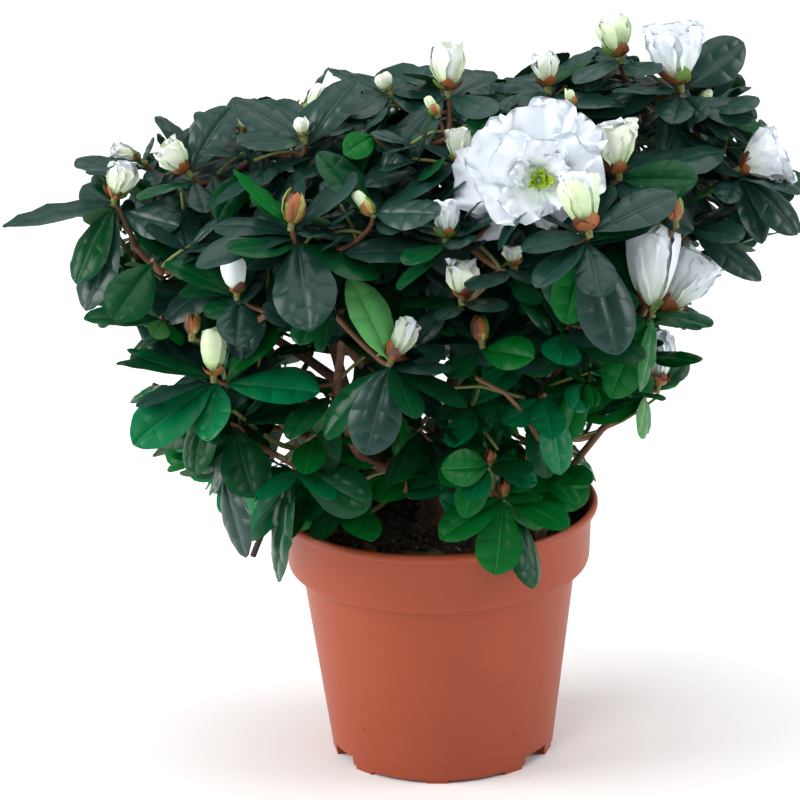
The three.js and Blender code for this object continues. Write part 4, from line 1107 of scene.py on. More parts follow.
class Wiring:
    """A node tree with short ways to add its nodes."""

    def __init__(self, tree):
        self.tree = tree
        self.sockets = {}

    def add(self, kind, inputs=None, out=0, **settings):
        """Adds a node with its inputs by name or number, and gives one of its outputs."""
        node = self.tree.nodes.new(kind)
        for key, value in settings.items():
            setattr(node, key, value)
        for key, value in (inputs or {}).items():
            self.link(value, node.inputs[key])
        return Value(self, node.outputs[out])

    def link(self, source, target):
        if isinstance(source, Value):
            self.tree.links.new(source.socket, target)
        else:
            target.default_value = source

    def input(self, label):
        return Value(self, self.given.outputs[label])

    def end(self, **results):
        for label, value in results.items():
            self.link(value, self.made.inputs[label])

    def math(self, operation, *values):
        return self.add("ShaderNodeMath", dict(enumerate(values)), operation=operation)

    def vector(self, operation, *values):
        return self.add("ShaderNodeVectorMath", dict(enumerate(values)), operation=operation)

    def scaled(self, vector, factor):
        return self.add("ShaderNodeVectorMath", {0: vector, "Scale": factor}, operation="SCALE")

    def noise(self, vector, scale, detail=2.0, roughness=0.5):
        inputs = {"Vector": vector, "Scale": scale, "Detail": detail, "Roughness": roughness}
        return self.add("ShaderNodeTexNoise", inputs, "Fac")

    def eased(self, value, start, end):
        """0 where the value is at the start, 1 where it's at the end."""
        inputs = {"Value": value, "From Min": start, "From Max": end}
        return self.add("ShaderNodeMapRange", inputs, "Result")

    def mixed(self, share, first, second):
        inputs = {"Factor": share, 6: first, 7: second}
        return self.add("ShaderNodeMix", inputs, 2, data_type="RGBA")

    def attribute(self, name, kind="FLOAT"):
        inputs = {"Name": name}
        return self.add("GeometryNodeInputNamedAttribute", inputs, "Attribute", data_type=kind)

    def near(self, value, number):
        inputs = {0: value, 1: number, "Epsilon": 0.4}
        return self.add("FunctionNodeCompare", inputs, "Result", data_type="FLOAT", operation="EQUAL")

    def painted(self, geometry, material, *selections):
        """Gives a material to the faces that every selection holds."""
        inputs = {"Geometry": geometry, "Material": material}
        if selections:
            inputs["Selection"] = selections[0]
        if len(selections) > 1:
            both = dict(enumerate(selections))
            inputs["Selection"] = self.add("FunctionNodeBooleanMath", both, operation="AND")
        return self.add("GeometryNodeSetMaterial", inputs)

    def moved(self, geometry, **where):
        return self.add("GeometryNodeSetPosition", {"Geometry": geometry, **where})

    def smooth(self, geometry):
        return self.add("GeometryNodeSetShadeSmooth", {"Geometry": geometry})

    def real(self, geometry):
        return self.add("GeometryNodeRealizeInstances", {0: geometry})


def new_wiring(name, kind, inputs, outputs):
    """An empty node group with named inputs (label, type, value) and outputs (label, type)."""
    w = Wiring(bpy.data.node_groups.new(name, kind))
    for label, socket_kind, *value in inputs:
        socket = w.tree.interface.new_socket(label, in_out="INPUT", socket_type="NodeSocket" + socket_kind)
        if value:
            socket.default_value = value[0]
        w.sockets[label] = socket.identifier
    for label, socket_kind in outputs:
        w.tree.interface.new_socket(label, in_out="OUTPUT", socket_type="NodeSocket" + socket_kind)
    w.given = w.tree.nodes.new("NodeGroupInput")
    w.made = w.tree.nodes.new("NodeGroupOutput")
    return w


def geometry_wiring(name, *inputs):
    shape = ("Geometry", "Geometry")
    return new_wiring(name, "GeometryNodeTree", [shape, *inputs], [shape])


def mottle_group():
    """Two colours mixed by broad and fine noise on the piece."""
    grey = (0.5, 0.5, 0.5, 1)
    inputs = [
        ("Base", "Color", grey), ("Other", "Color", grey), ("Scale", "Float", 40.0),
        ("Amount", "Float", 0.5),
    ]
    w = new_wiring("mottle", "ShaderNodeTree", inputs, [("Color", "Color")])
    noise = w.noise(w.add("ShaderNodeTexCoord", out="Object"), w.input("Scale"), 5, 0.62)
    share = w.eased(noise, 0.36, 0.66) * w.input("Amount")
    w.end(Color=w.mixed(share, w.input("Base"), w.input("Other")))
    return w.tree


def grain_group():
    """A bumped surface from fine noise, stretched along one axis if wished."""
    inputs = [
        ("Scale", "Float", 300.0), ("Strength", "Float", 0.2), ("Depth", "Float", 0.0004),
        ("Stretch", "Vector", (1.0, 1.0, 1.0)),
    ]
    w = new_wiring("grain", "ShaderNodeTree", inputs, [("Normal", "Vector")])
    place = w.vector("MULTIPLY", w.add("ShaderNodeTexCoord", out="Object"), w.input("Stretch"))
    noise = w.noise(place, w.input("Scale"), 4)
    relief = {"Height": noise, "Strength": w.input("Strength"), "Distance": w.input("Depth")}
    w.end(Normal=w.add("ShaderNodeBump", relief, "Normal"))
    return w.tree


MOTTLE = mottle_group()
GRAIN = grain_group()

# Finishes


def finish(name, colour, roughness, gloss=0.5):
    """A material with a plain colour."""
    material = bpy.data.materials.new(name)
    material.use_nodes = True
    sockets = material.node_tree.nodes["Principled BSDF"].inputs
    sockets["Base Color"].default_value = (*colour, 1)
    sockets["Roughness"].default_value = roughness
    sockets["Specular IOR Level"].default_value = gloss
    material.diffuse_color = (*colour, 1)
    return material


def rough_finish(name, colour, roughness, gloss, mottle, grain, over=None):
    """A finish with mottled colour and fine grain; over may change the colour once more."""
    material = finish(name, colour, roughness, gloss)
    w = Wiring(material.node_tree)
    sockets = w.tree.nodes["Principled BSDF"].inputs
    colour = w.add("ShaderNodeGroup", mottle, "Color", node_tree=MOTTLE)
    if over:
        colour = over(w, colour)
    w.link(colour, sockets["Base Color"])
    w.link(w.add("ShaderNodeGroup", grain, "Normal", node_tree=GRAIN), sockets["Normal"])
    return material


def with_specks(w, colour):
    """Small specks of dirt in some patches of the pot."""
    place = w.add("ShaderNodeTexCoord", out="Object")
    specks = w.add("ShaderNodeTexVoronoi", {"Vector": place, "Scale": 95}, "Distance")
    patches = w.noise(place, 38, 1)
    share = w.eased(specks, 0.10, 0.03) * w.eased(patches, 0.60, 0.68)
    return w.mixed(share, colour, (0.07, 0.03, 0.02, 1))


# Satin orange-brown plastic with fine rings round the pot
POT_PLASTIC = rough_finish(
    "pot_plastic", (0.38, 0.075, 0.030), 0.45, 0.32,
    dict(Base=(0.345, 0.062, 0.0215, 1), Other=(0.295, 0.051, 0.0185, 1), Scale=14, Amount=0.6),
    dict(Scale=60, Strength=0.25, Depth=0.0006, Stretch=(1, 1, 9)), with_specks,
)
BARK = rough_finish(
    "bark", (0.12, 0.065, 0.034), 0.85, 0.5,
    dict(Base=(0.16, 0.070, 0.038, 1), Other=(0.050, 0.028, 0.018, 1), Scale=300, Amount=1),
    dict(Scale=520, Strength=0.9, Depth=0.0009, Stretch=(1, 1, 0.35)),
)
PEAT = rough_finish(
    "compost", (0.02, 0.014, 0.010), 0.95, 0.5,
    dict(Base=(0.046, 0.036, 0.025, 1), Other=(0.015, 0.012, 0.009, 1), Scale=300, Amount=1),
    dict(Scale=700, Strength=0.8, Depth=0.001),
)
WOOD_FINISHES = [
    BARK,
    finish("twig_red_brown", (0.17, 0.074, 0.034), 0.6),
    finish("twig_green", (0.16, 0.18, 0.045), 0.55),
    finish("twig_dry", (0.035, 0.022, 0.018), 0.85),
]
PEAT_BIT = finish("compost_fibre", (0.085, 0.045, 0.025), 0.9)
PALE_BIT = finish("compost_grain", (0.26, 0.20, 0.15), 0.85)
LITTER_FINISHES = [
    finish("dry_leaf", (0.17, 0.075, 0.035), 0.75),
    finish("dry_leaf_green", (0.08, 0.12, 0.05), 0.7),
    finish("pale_blade", (0.34, 0.36, 0.20), 0.6),
]
SCALE_FINISHES = {
    "brown": finish("scale_brown", (0.34, 0.105, 0.028), 0.5),
    "dark": finish("scale_dark", (0.13, 0.040, 0.018), 0.55),
    "green": finish("scale_green", (0.12, 0.24, 0.035), 0.5),
    "pale": finish("scale_pale", (0.42, 0.40, 0.12), 0.55),
}
# By tint: a petal's colour at its base and at its end, and where each step between them ends
PETAL_TINTS = {
    "white": ((0.76, 0.87, 0.66), (0.85, 0.91, 0.98)),
    "cream": ((0.50, 0.72, 0.22), (0.88, 0.93, 0.80)),
    "green": ((0.36, 0.58, 0.16), (0.74, 0.86, 0.58)),
    "throat": ((0.30, 0.50, 0.03), (0.42, 0.60, 0.05)),
}
PETAL_STEPS = [0.05, 0.12, 0.2, 0.3, 0.42, 0.58]

# Meshes


def link_object(name, data):
    made = bpy.data.objects.new(name, data)
    bpy.context.scene.collection.objects.link(made)
    return made


def mesh_from(name, vertices, faces, edges=()):
    mesh = bpy.data.meshes.new(name)
    mesh.from_pydata([tuple(v) for v in vertices], edges, faces)
    mesh.update()
    return mesh


def set_values(mesh, label, values, where="POINT"):
    """Keeps a number or a vector on every point or face of a mesh."""
    values = np.array(values, np.float32)
    kind, field = ("FLOAT_VECTOR", "vector") if values.ndim == 2 else ("FLOAT", "value")
    mesh.attributes.new(label, kind, where).data.foreach_set(field, values.ravel())


def evaluated_mesh(thing):
    graph = bpy.context.evaluated_depsgraph_get()
    return bpy.data.meshes.new_from_object(thing.evaluated_get(graph))


GROWTH_ATTRIBUTES = [*Blade._fields, "pattern", "zone", "wood_radius", "age"]


def run_tree(thing, wiring, values, name):
    """Runs a tree on an object, keeps what it makes as a plain mesh, and removes the source."""
    modifier = thing.modifiers.new("growth", "NODES")
    modifier.node_group = wiring.tree
    for label, value in values.items():
        modifier[wiring.sockets[label]] = value
    bpy.context.view_layer.update()
    mesh = evaluated_mesh(thing)
    for attribute in [a.name for a in mesh.attributes if a.name in GROWTH_ATTRIBUTES]:
        mesh.attributes.remove(mesh.attributes[attribute])
    made = link_object(name, mesh)
    mesh.name = name
    old = thing.data
    bpy.data.objects.remove(thing)
    bpy.data.meshes.remove(old)
    return made


def arc(u, low=0, high=1):
    return math.sin(math.pi * clamped(u, low, high))


def blade_pattern(name, rows, columns, half_at, lift_at, thickness, zone_at, closed_grid, sweep=0, veins=2):
    """One flat blade, 1 long and 1 broad, for the blade tree to bend: its upper side by rows and columns,
    and its underside, which is a grid of its own or two strips that meet along the rib. Where rows sweep
    forward to the margin some are side veins: one in every `veins` rows is a crease, and so is the rib."""
    vertices, faces, zones = [], [], []
    count = len(columns)
    root_and_tip = (0, len(rows) - 1)

    def row_at(index, low):
        u = rows[index]
        line = []
        for s in columns:
            drop = thickness * (1 - s * s) * arc(u, 0.02, 0.98) ** 0.5 if low else 0
            forward = u + sweep * abs(s) * math.sin(math.pi * u)
            line.append((forward, s * half_at(forward), lift_at(u, s, index) - drop))
        return line

    def numbered(points):
        vertices.extend(points)
        return list(range(len(vertices) - len(points), len(vertices)))

    def add(face, zone):
        face = [v for i, v in enumerate(face) if v != face[i - 1]]
        if len(set(face)) >= 3:
            faces.append(face)
            zones.append(zone)

    grid = []
    for index, u in enumerate(rows):
        if index in root_and_tip:
            grid.append(numbered([(u, 0, lift_at(u, 0, index))]) * count)
        else:
            grid.append(numbered(row_at(index, False)))
    under = []
    for index, u in enumerate(rows):
        line = grid[index]
        if index in root_and_tip:
            under.append([line[0]] * (count if closed_grid else 3))
        elif closed_grid:
            under.append([line[0], *numbered(row_at(index, True)[1:-1]), line[-1]])
        else:
            low = min(lift_at(u, s, index) for s in columns)
            under.append([line[0], *numbered([(u, 0, low - thickness)]), line[-1]])
    for lines, upper in ((grid, True), (under, False)):
        for i, (line, after) in enumerate(zip(lines, lines[1:])):
            u = (rows[i] + rows[i + 1]) / 2
            for j in range(len(line) - 1):
                if upper:
                    zone = zone_at(u, (columns[j] + columns[j + 1]) / 2, True)
                    add([line[j], after[j], after[j + 1], line[j + 1]], zone)
                else:
                    add([line[j], line[j + 1], after[j + 1], after[j]], zone_at(u, 0.5, False))
    mesh = mesh_from(name, vertices, faces)
    creases = [{line[0] for line in grid} | {line[-1] for line in grid}]
    if sweep:
        creases += [set(line) for index, line in enumerate(grid) if index % veins == 0]
        creases += [{line[column] for line in grid} for column in (count // 2 - 1, count // 2)]
    for edge in mesh.edges:
        ends = set(edge.vertices)
        edge.use_edge_sharp = any(ends <= crease for crease in creases)
    set_values(mesh, "pattern", vertices)
    set_values(mesh, "zone", zones, "FACE")
    return link_object(name, mesh)


def eased(share):
    return 0.5 - 0.5 * math.cos(math.pi * share)


def eased_rows(count, power=1.0):
    return [eased((i / count) ** power) for i in range(count + 1)]


def outline_half(u, rise, fall):
    """Half the breadth of a blade 1 broad: it widens by one power from its root and narrows by another."""
    t = clamped(u, 0, 1)
    peak = rise / (rise + fall)
    return 0.5 * (t**rise * (1 - t) ** fall) / (peak**rise * (1 - peak) ** fall)


def leaf_half(u):
    """A short stalk, then an ellipse with a short point."""
    return max(outline_half((u - 0.05) / 0.95, 0.94, 0.66), 0.03 if u < 0.9 else 0)


def leaf_lift(u, s, index):
    """The blade's quilted relief: a sunk rib, raised cushions between the side veins, a turned-down edge."""
    odd = index % 2
    if abs(s) < 0.1:
        lift = -0.012
    elif abs(s) < 0.9:
        lift = 0.040 if odd else 0.012
    else:
        lift = 0.003 if odd else -0.003
    return lift * arc(u) ** 0.6


QUILT_VEINS = 6
QUILT_STEPS = (0.24, 0.76, 1)


def quilt_lift(u, s, index):
    """Finer relief for a broad leaf: narrow sunk veins between cushions, crinkled all over."""
    swell = arc(u) ** 0.5
    away = abs(s)
    if away < 0.1:
        return -0.014 * swell
    cushion = math.sin(math.pi * (0.12 + 0.8 * away)) if away < 0.99 else 0
    crinkle = 0.008 * math.sin(57 * u + 23 * s) * math.cos(31 * s - 17 * u)
    return swell * ((0.026 if index % len(QUILT_STEPS) else 0.010) * cushion + crinkle)


def petal_half(u):
    return max(outline_half(u, 0.75, 0.34), 0.04 if u < 0.9 else 0)


def frilled_half(u):
    """An open petal's outline, broadest near its end, its margin nicked and waved."""
    wave = 1 + 0.07 * math.sin(21 * u) * min(u, 1) + 0.04 * math.sin(47 * u)
    return max(outline_half(u, 0.8, 0.3) * wave, 0.04 if u < 0.9 else 0)


def scale_half(u):
    return outline_half(u * 0.94 + 0.06, 0.55, 0.8)


def petal_lift(u, s, index):
    return 0.012 * math.cos(3 * math.pi * s) * math.sin(math.pi * u)


RIB_ZONE, BLADE_ZONE, UNDER_ZONE = 1, 0, 2


def leaf_zone(u, s, upper):
    if not upper:
        return UNDER_ZONE
    return RIB_ZONE if abs(s) < 0.05 else BLADE_ZONE


def petal_zone(u, s, upper):
    """Zones from a petal's base to its end, which reach further up along its middle."""
    return sum(u + 0.2 * (abs(s) - 0.5) > step for step in PETAL_STEPS)


BLADE_THICKNESS = 0.012
FRILLED_THICKNESS = 0.010
SCALE_THICKNESS = 0.05
VEIN_SWEEP = 0.09
LEAF_COLUMNS = [-1, -0.52, -0.04, 0.04, 0.52, 1]
BROAD_COLUMNS = [-1, -0.76, -0.5, -0.24, -0.04, 0.04, 0.24, 0.5, 0.76, 1]
BROAD_ROWS = [0] + [eased((vein + step) / QUILT_VEINS) for vein in range(QUILT_VEINS) for step in QUILT_STEPS]
PETAL_COLUMNS = [-1, -0.6, -0.2, 0.2, 0.6, 1]
FRILLED_COLUMNS = [math.sin(math.pi / 2 * (step / 8)) for step in range(-8, 9)]
LEAF_PATTERN = blade_pattern(
    "leaf_pattern", eased_rows(10), LEAF_COLUMNS,
    leaf_half, leaf_lift, BLADE_THICKNESS, leaf_zone, False, VEIN_SWEEP,
)
BROAD_PATTERN = blade_pattern(
    "broad_leaf_pattern", BROAD_ROWS, BROAD_COLUMNS,
    leaf_half, quilt_lift, BLADE_THICKNESS, leaf_zone, False, VEIN_SWEEP, len(QUILT_STEPS),
)
BUD_PETAL_PATTERN = blade_pattern(
    "bud_petal_pattern", eased_rows(7, 0.9), PETAL_COLUMNS,
    petal_half, petal_lift, BLADE_THICKNESS, petal_zone, True,
)
FRILLED_PETAL_PATTERN = blade_pattern(
    "frilled_petal_pattern", eased_rows(15, 0.85), FRILLED_COLUMNS,
    frilled_half, petal_lift, FRILLED_THICKNESS, petal_zone, True,
)
SCALE_PATTERN = blade_pattern(
    "scale_pattern", [0, 0.1, 0.35, 0.65, 0.88, 1], [-1, -0.4, 0.4, 1],
    scale_half, lambda u, s, index: 0, SCALE_THICKNESS, lambda u, s, upper: BLADE_ZONE, True,
)


def blade_tree(name, finishes):
    """Sets a blade on every point and bends it: along its length by its arch, across by its cup, round by
    its twist and at random by its ripple. finishes gives (zone, tone number, material)."""
    w = geometry_wiring(
        name, ("Pattern", "Object"), ("Ripple scale", "Float", 90.0), ("Frills", "Float", 15.0),
        ("Frill share", "Float", 0.0), ("Seed", "Float", 3.0),
    )
    given = {"Object": w.input("Pattern"), "As Instance": False}
    pattern = w.add("GeometryNodeObjectInfo", given, "Geometry")
    placed = {"Points": w.input("Geometry"), "Instance": pattern}
    blades = w.real(w.add("GeometryNodeInstanceOnPoints", placed))
    on_pattern = w.attribute("pattern", "FLOAT_VECTOR")
    x, y, z = (w.add("ShaderNodeSeparateXYZ", {0: on_pattern}, out) for out in range(3))
    root, along, face = (w.attribute(each, "FLOAT_VECTOR") for each in Blade._fields[:3])
    length, breadth, arch, cup, twist, ripple, tone, form = (w.attribute(each) for each in Blade._fields[3:])
    bend = arch * x
    curl = y * breadth * (form * (x - 0.5) + 1.0) * cup
    pushed = w.vector("ADD", w.scaled(root, 61.0), on_pattern)
    shaken = w.noise(w.scaled(pushed, w.input("Seed")), w.input("Ripple scale"), 1.0)
    outer = w.math("ABSOLUTE", y) * 0.8 + x * 0.7
    phase = y * w.input("Frills") + shaken * 14.0 + x * (w.input("Frills") * 0.6)
    frill = w.math("SINE", phase) * w.math("POWER", outer, 3.0)
    wave = ((shaken - 0.5) * outer + frill * w.input("Frill share")) * ripple
    aside = w.math("SINE", curl) / cup
    height = z * length + (1.0 - w.math("COSINE", curl)) / cup + wave
    roll = twist * x
    side_way = aside * w.math("COSINE", roll) - height * w.math("SINE", roll)
    face_way = aside * w.math("SINE", roll) + height * w.math("COSINE", roll)
    run_way = w.math("SINE", bend) / arch * length + face_way * w.math("SINE", bend)
    up_way = (w.math("COSINE", bend) - 1.0) / arch * length + face_way * w.math("COSINE", bend)
    place = root
    for way, reach in ((along, run_way), (w.vector("CROSS_PRODUCT", face, along), side_way), (face, up_way)):
        place = w.vector("ADD", place, w.scaled(way, reach))
    shown = w.smooth(w.moved(blades, Position=place))
    zone = w.attribute("zone")
    for zone_number, tone_number, material in finishes:
        selections = [w.near(zone, zone_number)]
        if tone_number is not None:
            selections.append(w.near(tone, tone_number))
        shown = w.painted(shown, material, *selections)
    w.end(Geometry=shown)
    return w


LEAST_BEND = {"arch": 0.002, "cup": 0.01}


def blade_points(name, blades):
    """A mesh of points that carry each blade's sizes."""
    mesh = mesh_from(name, [blade.root * MM for blade in blades], [])
    for label in Blade._fields:
        values = [getattr(blade, label) for blade in blades]
        if label in ("root", "length", "breadth", "ripple"):
            values = [value * MM for value in values]
        least = LEAST_BEND.get(label, 0)
        set_values(mesh, label, [least if least and abs(value) <= least else value for value in values])
    return link_object(name, mesh)


leaf_finishes = [(UNDER_ZONE, None, finish("leaf_underside", (0.030, 0.110, 0.038), 0.6, 0.3))]
for number, (tone, (blade, rib, roughness, gloss)) in enumerate(LEAF_COLOURS.items()):
    leaf_finishes.append((BLADE_ZONE, number, finish("leaf_" + tone, blade, roughness, gloss)))
    leaf_finishes.append((RIB_ZONE, number, finish("rib_" + tone, rib, roughness + 0.1, gloss)))
LEAF_TREE = blade_tree("leaves on shoots", leaf_finishes)

for tier, rows in leaf_rows.items():
    pattern = BROAD_PATTERN if tier == "broad" else LEAF_PATTERN
    sizes = {"Pattern": pattern, "Ripple scale": 2.4}
    piece = run_tree(blade_points("leaf_points", rows), LEAF_TREE, sizes, "leaves_" + tier)
    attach(piece, "root")
    if tier != "broad":
        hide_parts(*["foliage_" + mass.name for mass in masses if mass.tier == tier])

# Flowers: petals, scales and the crumpled middle are blades too. Each kind's whorls: petals, angle they
# open at, share of the length, breadth as a share of that, arch, cup, ripple, tint
WHORLS = {
    "tiny": [(4, 40, 1.02, 0.62, -1.35, 300, 0.2, "green")],
    "bud": [(5, 44, 1.04, 0.64, -1.4, 190, 0.6, "cream"), (3, 30, 0.98, 0.5, -1.0, 200, 0.8, "white")],
    "opening": [
        (5, 38, 0.98, 0.78, -0.86, 100, 3.4, "cream"), (5, 27, 1.0, 0.62, -0.6, 110, 4.4, "white"),
        (4, 14, 0.96, 0.5, -0.2, 120, 4.4, "cream"),
    ],
    "ovoid": [
        (5, 42, 1.04, 0.84, -0.98, 96, 1.8, "white"), (5, 32, 1.0, 0.7, -0.75, 100, 3.4, "white"),
        (4, 18, 0.94, 0.5, -0.35, 110, 4.5, "cream"),
    ],
    "cup": [
        (5, 36, 1.0, 0.96, -0.42, 68, 4.6, "white"), (5, 27, 0.98, 0.8, -0.22, 72, 5.4, "white"),
        (4, 16, 0.9, 0.62, 0.0, 80, 5.4, "white"), (3, 8, 0.78, 0.5, 0.1, 80, 5.0, "cream"),
    ],
    "flower": [
        (5, 82, 1.0, 0.9, 0.2, 14, 7.0, "white"), (5, 66, 0.95, 0.85, -0.1, 18, 7.5, "white"),
        (6, 48, 0.78, 0.7, -0.1, 22, 7.0, "white"),
    ],
}
FRILLED_KINDS = ("cup", "ovoid", "flower")
# The open flower's petals as seen: where each ends in the frame, its breadth there and how far it leans
# towards the viewer, the hindmost first
THROAT_SPOT = (539, 180)
FLOWER_PETALS = [
    ((488, 130), 46, -0.35), ((554, 104), 48, -0.1), ((594, 126), 44, -0.1), ((452, 178), 60, -0.3),
    ((462, 218), 62, -0.3), ((512, 234), 74, -0.35), ((566, 216), 52, 0.05), ((602, 168), 52, 0.05),
    ((530, 108), 50, 0.2), ((470, 148), 46, 0.12), ((486, 204), 58, 0.2), ((584, 144), 44, 0.3),
    ((498, 148), 50, 0.42), ((546, 134), 44, 0.5), ((576, 192), 38, 0.4), ((514, 212), 42, 0.4),
    ((512, 168), 26, 0.5), ((566, 158), 24, 0.55), ((548, 210), 24, 0.35),
]
SEEN_PETAL_ARCH = (-0.1, 0.5)
SEEN_PETAL_RIPPLE = (4.5, 8.0)
SEEN_PETAL_CUP = (-4, 26)
# How much nearer the viewer each next petal lies
PETAL_LAYER = 0.35
# The crumpled middle: how many petals, how many of them yellow, how far the first opens and each next one
# more, and their length and breadth as shares
THROAT_PETALS = 9
YELLOW_PETALS = 6
THROAT_OPENING = 6
THROAT_STEP = 4.5
THROAT_LENGTHS = (0.14, 0.26)
THROAT_BREADTHS = (0.4, 0.62)
# Scales by kind of bloom: how many rounds, scales in a round, and their length as a share of the bloom's
SCALE_SETS = {
    "tiny": (2, 4, 0.85), "bud": (2, 4, 0.42), "scaly": (4, 5, 0.95), "opening": (2, 5, 0.5),
    "ovoid": (1, 4, 0.3), "cup": (2, 5, 0.42),
}
TIGHT_SCALE_TONES = ["brown", "green", "brown", "pale", "dark"]
# Tight scales and loose ones: how much shorter each round is, the least share of their length, how far
# they open, by how much more in each round and at random, and their breadth as a share of their length
SCALE_RULES = {True: (0.14, 0.92, 40, 0, 5, (0.425, 0.61)), False: (0.4, 0.55, 50, 14, 14, (0.78, 1.05))}
TIGHT_ARCH = -1.45
LOOSE_ARCH = (-1.15, -0.35)
LONGEST_SCALE = 1.12
# How a whorl's petals vary in length, breadth, arch and ripple, and in their turn and opening; how far
# from the axis they start; how plump a bloom may be, and how much longer the petals of a bud are
LENGTH_VARIES = (0.88, 1.06)
BREADTH_VARIES = (0.9, 1.1)
ARCH_VARIES = (0.8, 1.15)
RIPPLE_VARIES = (0.6, 1.4)
PETAL_TURN_VARIES = 0.3
PETAL_OPENING_VARIES = 9
PETAL_OFFSET = 0.7
PLUMPNESS = (0.7, 1.35)
BUD_FULLNESS = 1.1
# A bloom's stalk: its length, a tiny bud's, how far it runs into wood and bloom, and its two radii
PEDICEL = 2.5
TINY_PEDICEL = 1
PEDICEL_SINK = 1.5
PEDICEL_RADII = (1.25, 1.7)
PETAL_TONES = {tint: number for number, tint in enumerate(PETAL_TINTS)}
SCALE_TONES = {tone: number for number, tone in enumerate(SCALE_FINISHES)}
petal_rows, frilled_rows, scale_rows = [], [], []


def petal_row(root, axis, angle, open_degrees, length, breadth, arch, cup, ripple, tone, base):
    """A petal that leaves its flower's axis at an angle, its upper face towards the axis."""
    spoke = spoke_of(axis, angle)
    opened = math.radians(open_degrees)
    along = axis * math.cos(opened) + spoke * math.sin(opened)
    face = axis * math.sin(opened) - spoke * math.cos(opened)
    return Blade(root + spoke * base, along, face, length, breadth, arch, cup, 0.0, ripple, tone)


def add_flower(kind, root, axis, length, radius, shoot):
    random = seeded(FLOWER_SEED + shoot.seed)
    pedicel = TINY_PEDICEL if kind == "tiny" else PEDICEL
    base = root + axis * pedicel
    sunk = axis * PEDICEL_SINK
    limbs.append(([root - sunk, root, base, base + sunk], *PEDICEL_RADII, "green"))
    turn = random() * 2 * math.pi
    aimed = shoot.bears[1]
    if kind == "flower" and not aimed:
        add_throat(base, axis, turn, radius, random)
    if kind == "flower" and aimed:
        add_seen_petals(shoot, random)
    elif kind != "scaly":
        reach = length - pedicel if kind != "flower" else radius
        tint = shoot.bears[3] if len(shoot.bears) > 3 else None
        add_whorls(kind, base, axis, reach, radius, turn, tint, random)
    if kind != "flower":
        add_scales(kind, base, axis, length - pedicel, radius, random)


def add_whorls(kind, base, axis, reach, radius, turn, tint, random):
    natural_length, natural_radius = BLOOM_SIZES[kind]
    plump = 1.0 if kind == "flower" else radius / natural_radius * natural_length / (reach + PEDICEL)
    plump = clamped(plump, *PLUMPNESS)
    rows = frilled_rows if kind in FRILLED_KINDS else petal_rows
    fullness = 1 if kind in ("flower", "cup") else BUD_FULLNESS
    for whorl, (count, opened, share, ratio, arch, cup, ripple, tone) in enumerate(WHORLS[kind]):
        if tint and (whorl == 0 or tint == "white"):
            tone = tint
        for index in range(count):
            angle = turn + 2 * math.pi * (index + 0.5 * whorl) / count
            angle += PETAL_TURN_VARIES * (random() - 0.5)
            long = reach * share * between(*LENGTH_VARIES, random()) * fullness
            broad = long * ratio * plump * between(*BREADTH_VARIES, random())
            spread = opened * plump + PETAL_OPENING_VARIES * (random() - 0.5)
            bow = arch * plump * between(*ARCH_VARIES, random())
            rippled = ripple * between(*RIPPLE_VARIES, random())
            sizes = (long, broad, bow, cup, rippled, PETAL_TONES[tone], PETAL_OFFSET)
            rows.append(petal_row(base, axis, angle, spread, *sizes))


def add_seen_petals(shoot, random):
    """The open flower's petals, each towards its own place in the frame."""
    centre = point_behind(THROAT_SPOT, shoot.tip.y - 10)
    add_throat(centre + VIEW_AHEAD * 4, -VIEW_AHEAD, 0.4, 30, random)
    for index, (spot, breadth, lean) in enumerate(FLOWER_PETALS):
        middle = point_behind(THROAT_SPOT, shoot.tip.y - 1.5 - PETAL_LAYER * index)
        flat = point_behind(spot, middle.y) - middle
        along = (flat - VIEW_AHEAD * flat.length * lean).normalized()
        face = square_to(along, -VIEW_AHEAD)
        length = flat.length * math.hypot(1, lean) * 1.03
        arch = between(*SEEN_PETAL_ARCH, random()) - 0.5 * lean
        ripple = between(*SEEN_PETAL_RIPPLE, random())
        cup = between(*SEEN_PETAL_CUP, random())
        twist = 0.4 * (random() - 0.5)
        broad = breadth / VIEW_SCALE * 1.08
        frilled_rows.append(Blade(middle, along, face, length, broad, arch, cup, twist, ripple, 0))


def add_throat(base, axis, turn, radius, random):
    """Small crumpled yellow-green petals that stand in the middle of an open flower."""
    for index in range(THROAT_PETALS):
        angle = turn + index * math.radians(LEAF_TURN)
        opened = THROAT_OPENING + THROAT_STEP * index
        long = radius * between(*THROAT_LENGTHS, random())
        broad = long * between(*THROAT_BREADTHS, random())
        tone = PETAL_TONES["throat" if index < YELLOW_PETALS else "green"]
        row = petal_row(base + axis * 2.0, axis, angle, opened, long, broad, 0.4, 60, 3.2, tone, 0.6)
        frilled_rows.append(row)


def add_scales(kind, base, axis, reach, radius, random):
    rounds, count, size = SCALE_SETS[kind]
    tight = kind in ("tiny", "scaly")
    place = base - axis * 1.0
    curl = 600 / max(radius, 3)
    shortening, least, opening, step, vary, ratio = SCALE_RULES[tight]
    for ring in range(rounds):
        shorter = 1 - shortening * ring
        for index in range(count):
            angle = 2 * math.pi * (index + 0.5 * ring) / count + 0.7 * random()
            long = reach * size * between(least, LONGEST_SCALE, random()) * shorter
            opened = opening + step * ring + vary * random()
            arch = TIGHT_ARCH if tight else between(*LOOSE_ARCH, random())
            pick = random()
            tone = "brown" if pick < 0.55 else ("dark" if pick < 0.8 else "green")
            if tight:
                tone = TIGHT_SCALE_TONES[(3 * ring + index) % len(TIGHT_SCALE_TONES)]
            broad = long * between(*ratio, random())
            number = SCALE_TONES[tone]
            row = petal_row(place, axis, angle, opened, long, broad, arch, curl, 0.8, number, 1.4)
            scale_rows.append(row)


for bloom in blooms:
    add_flower(*bloom)

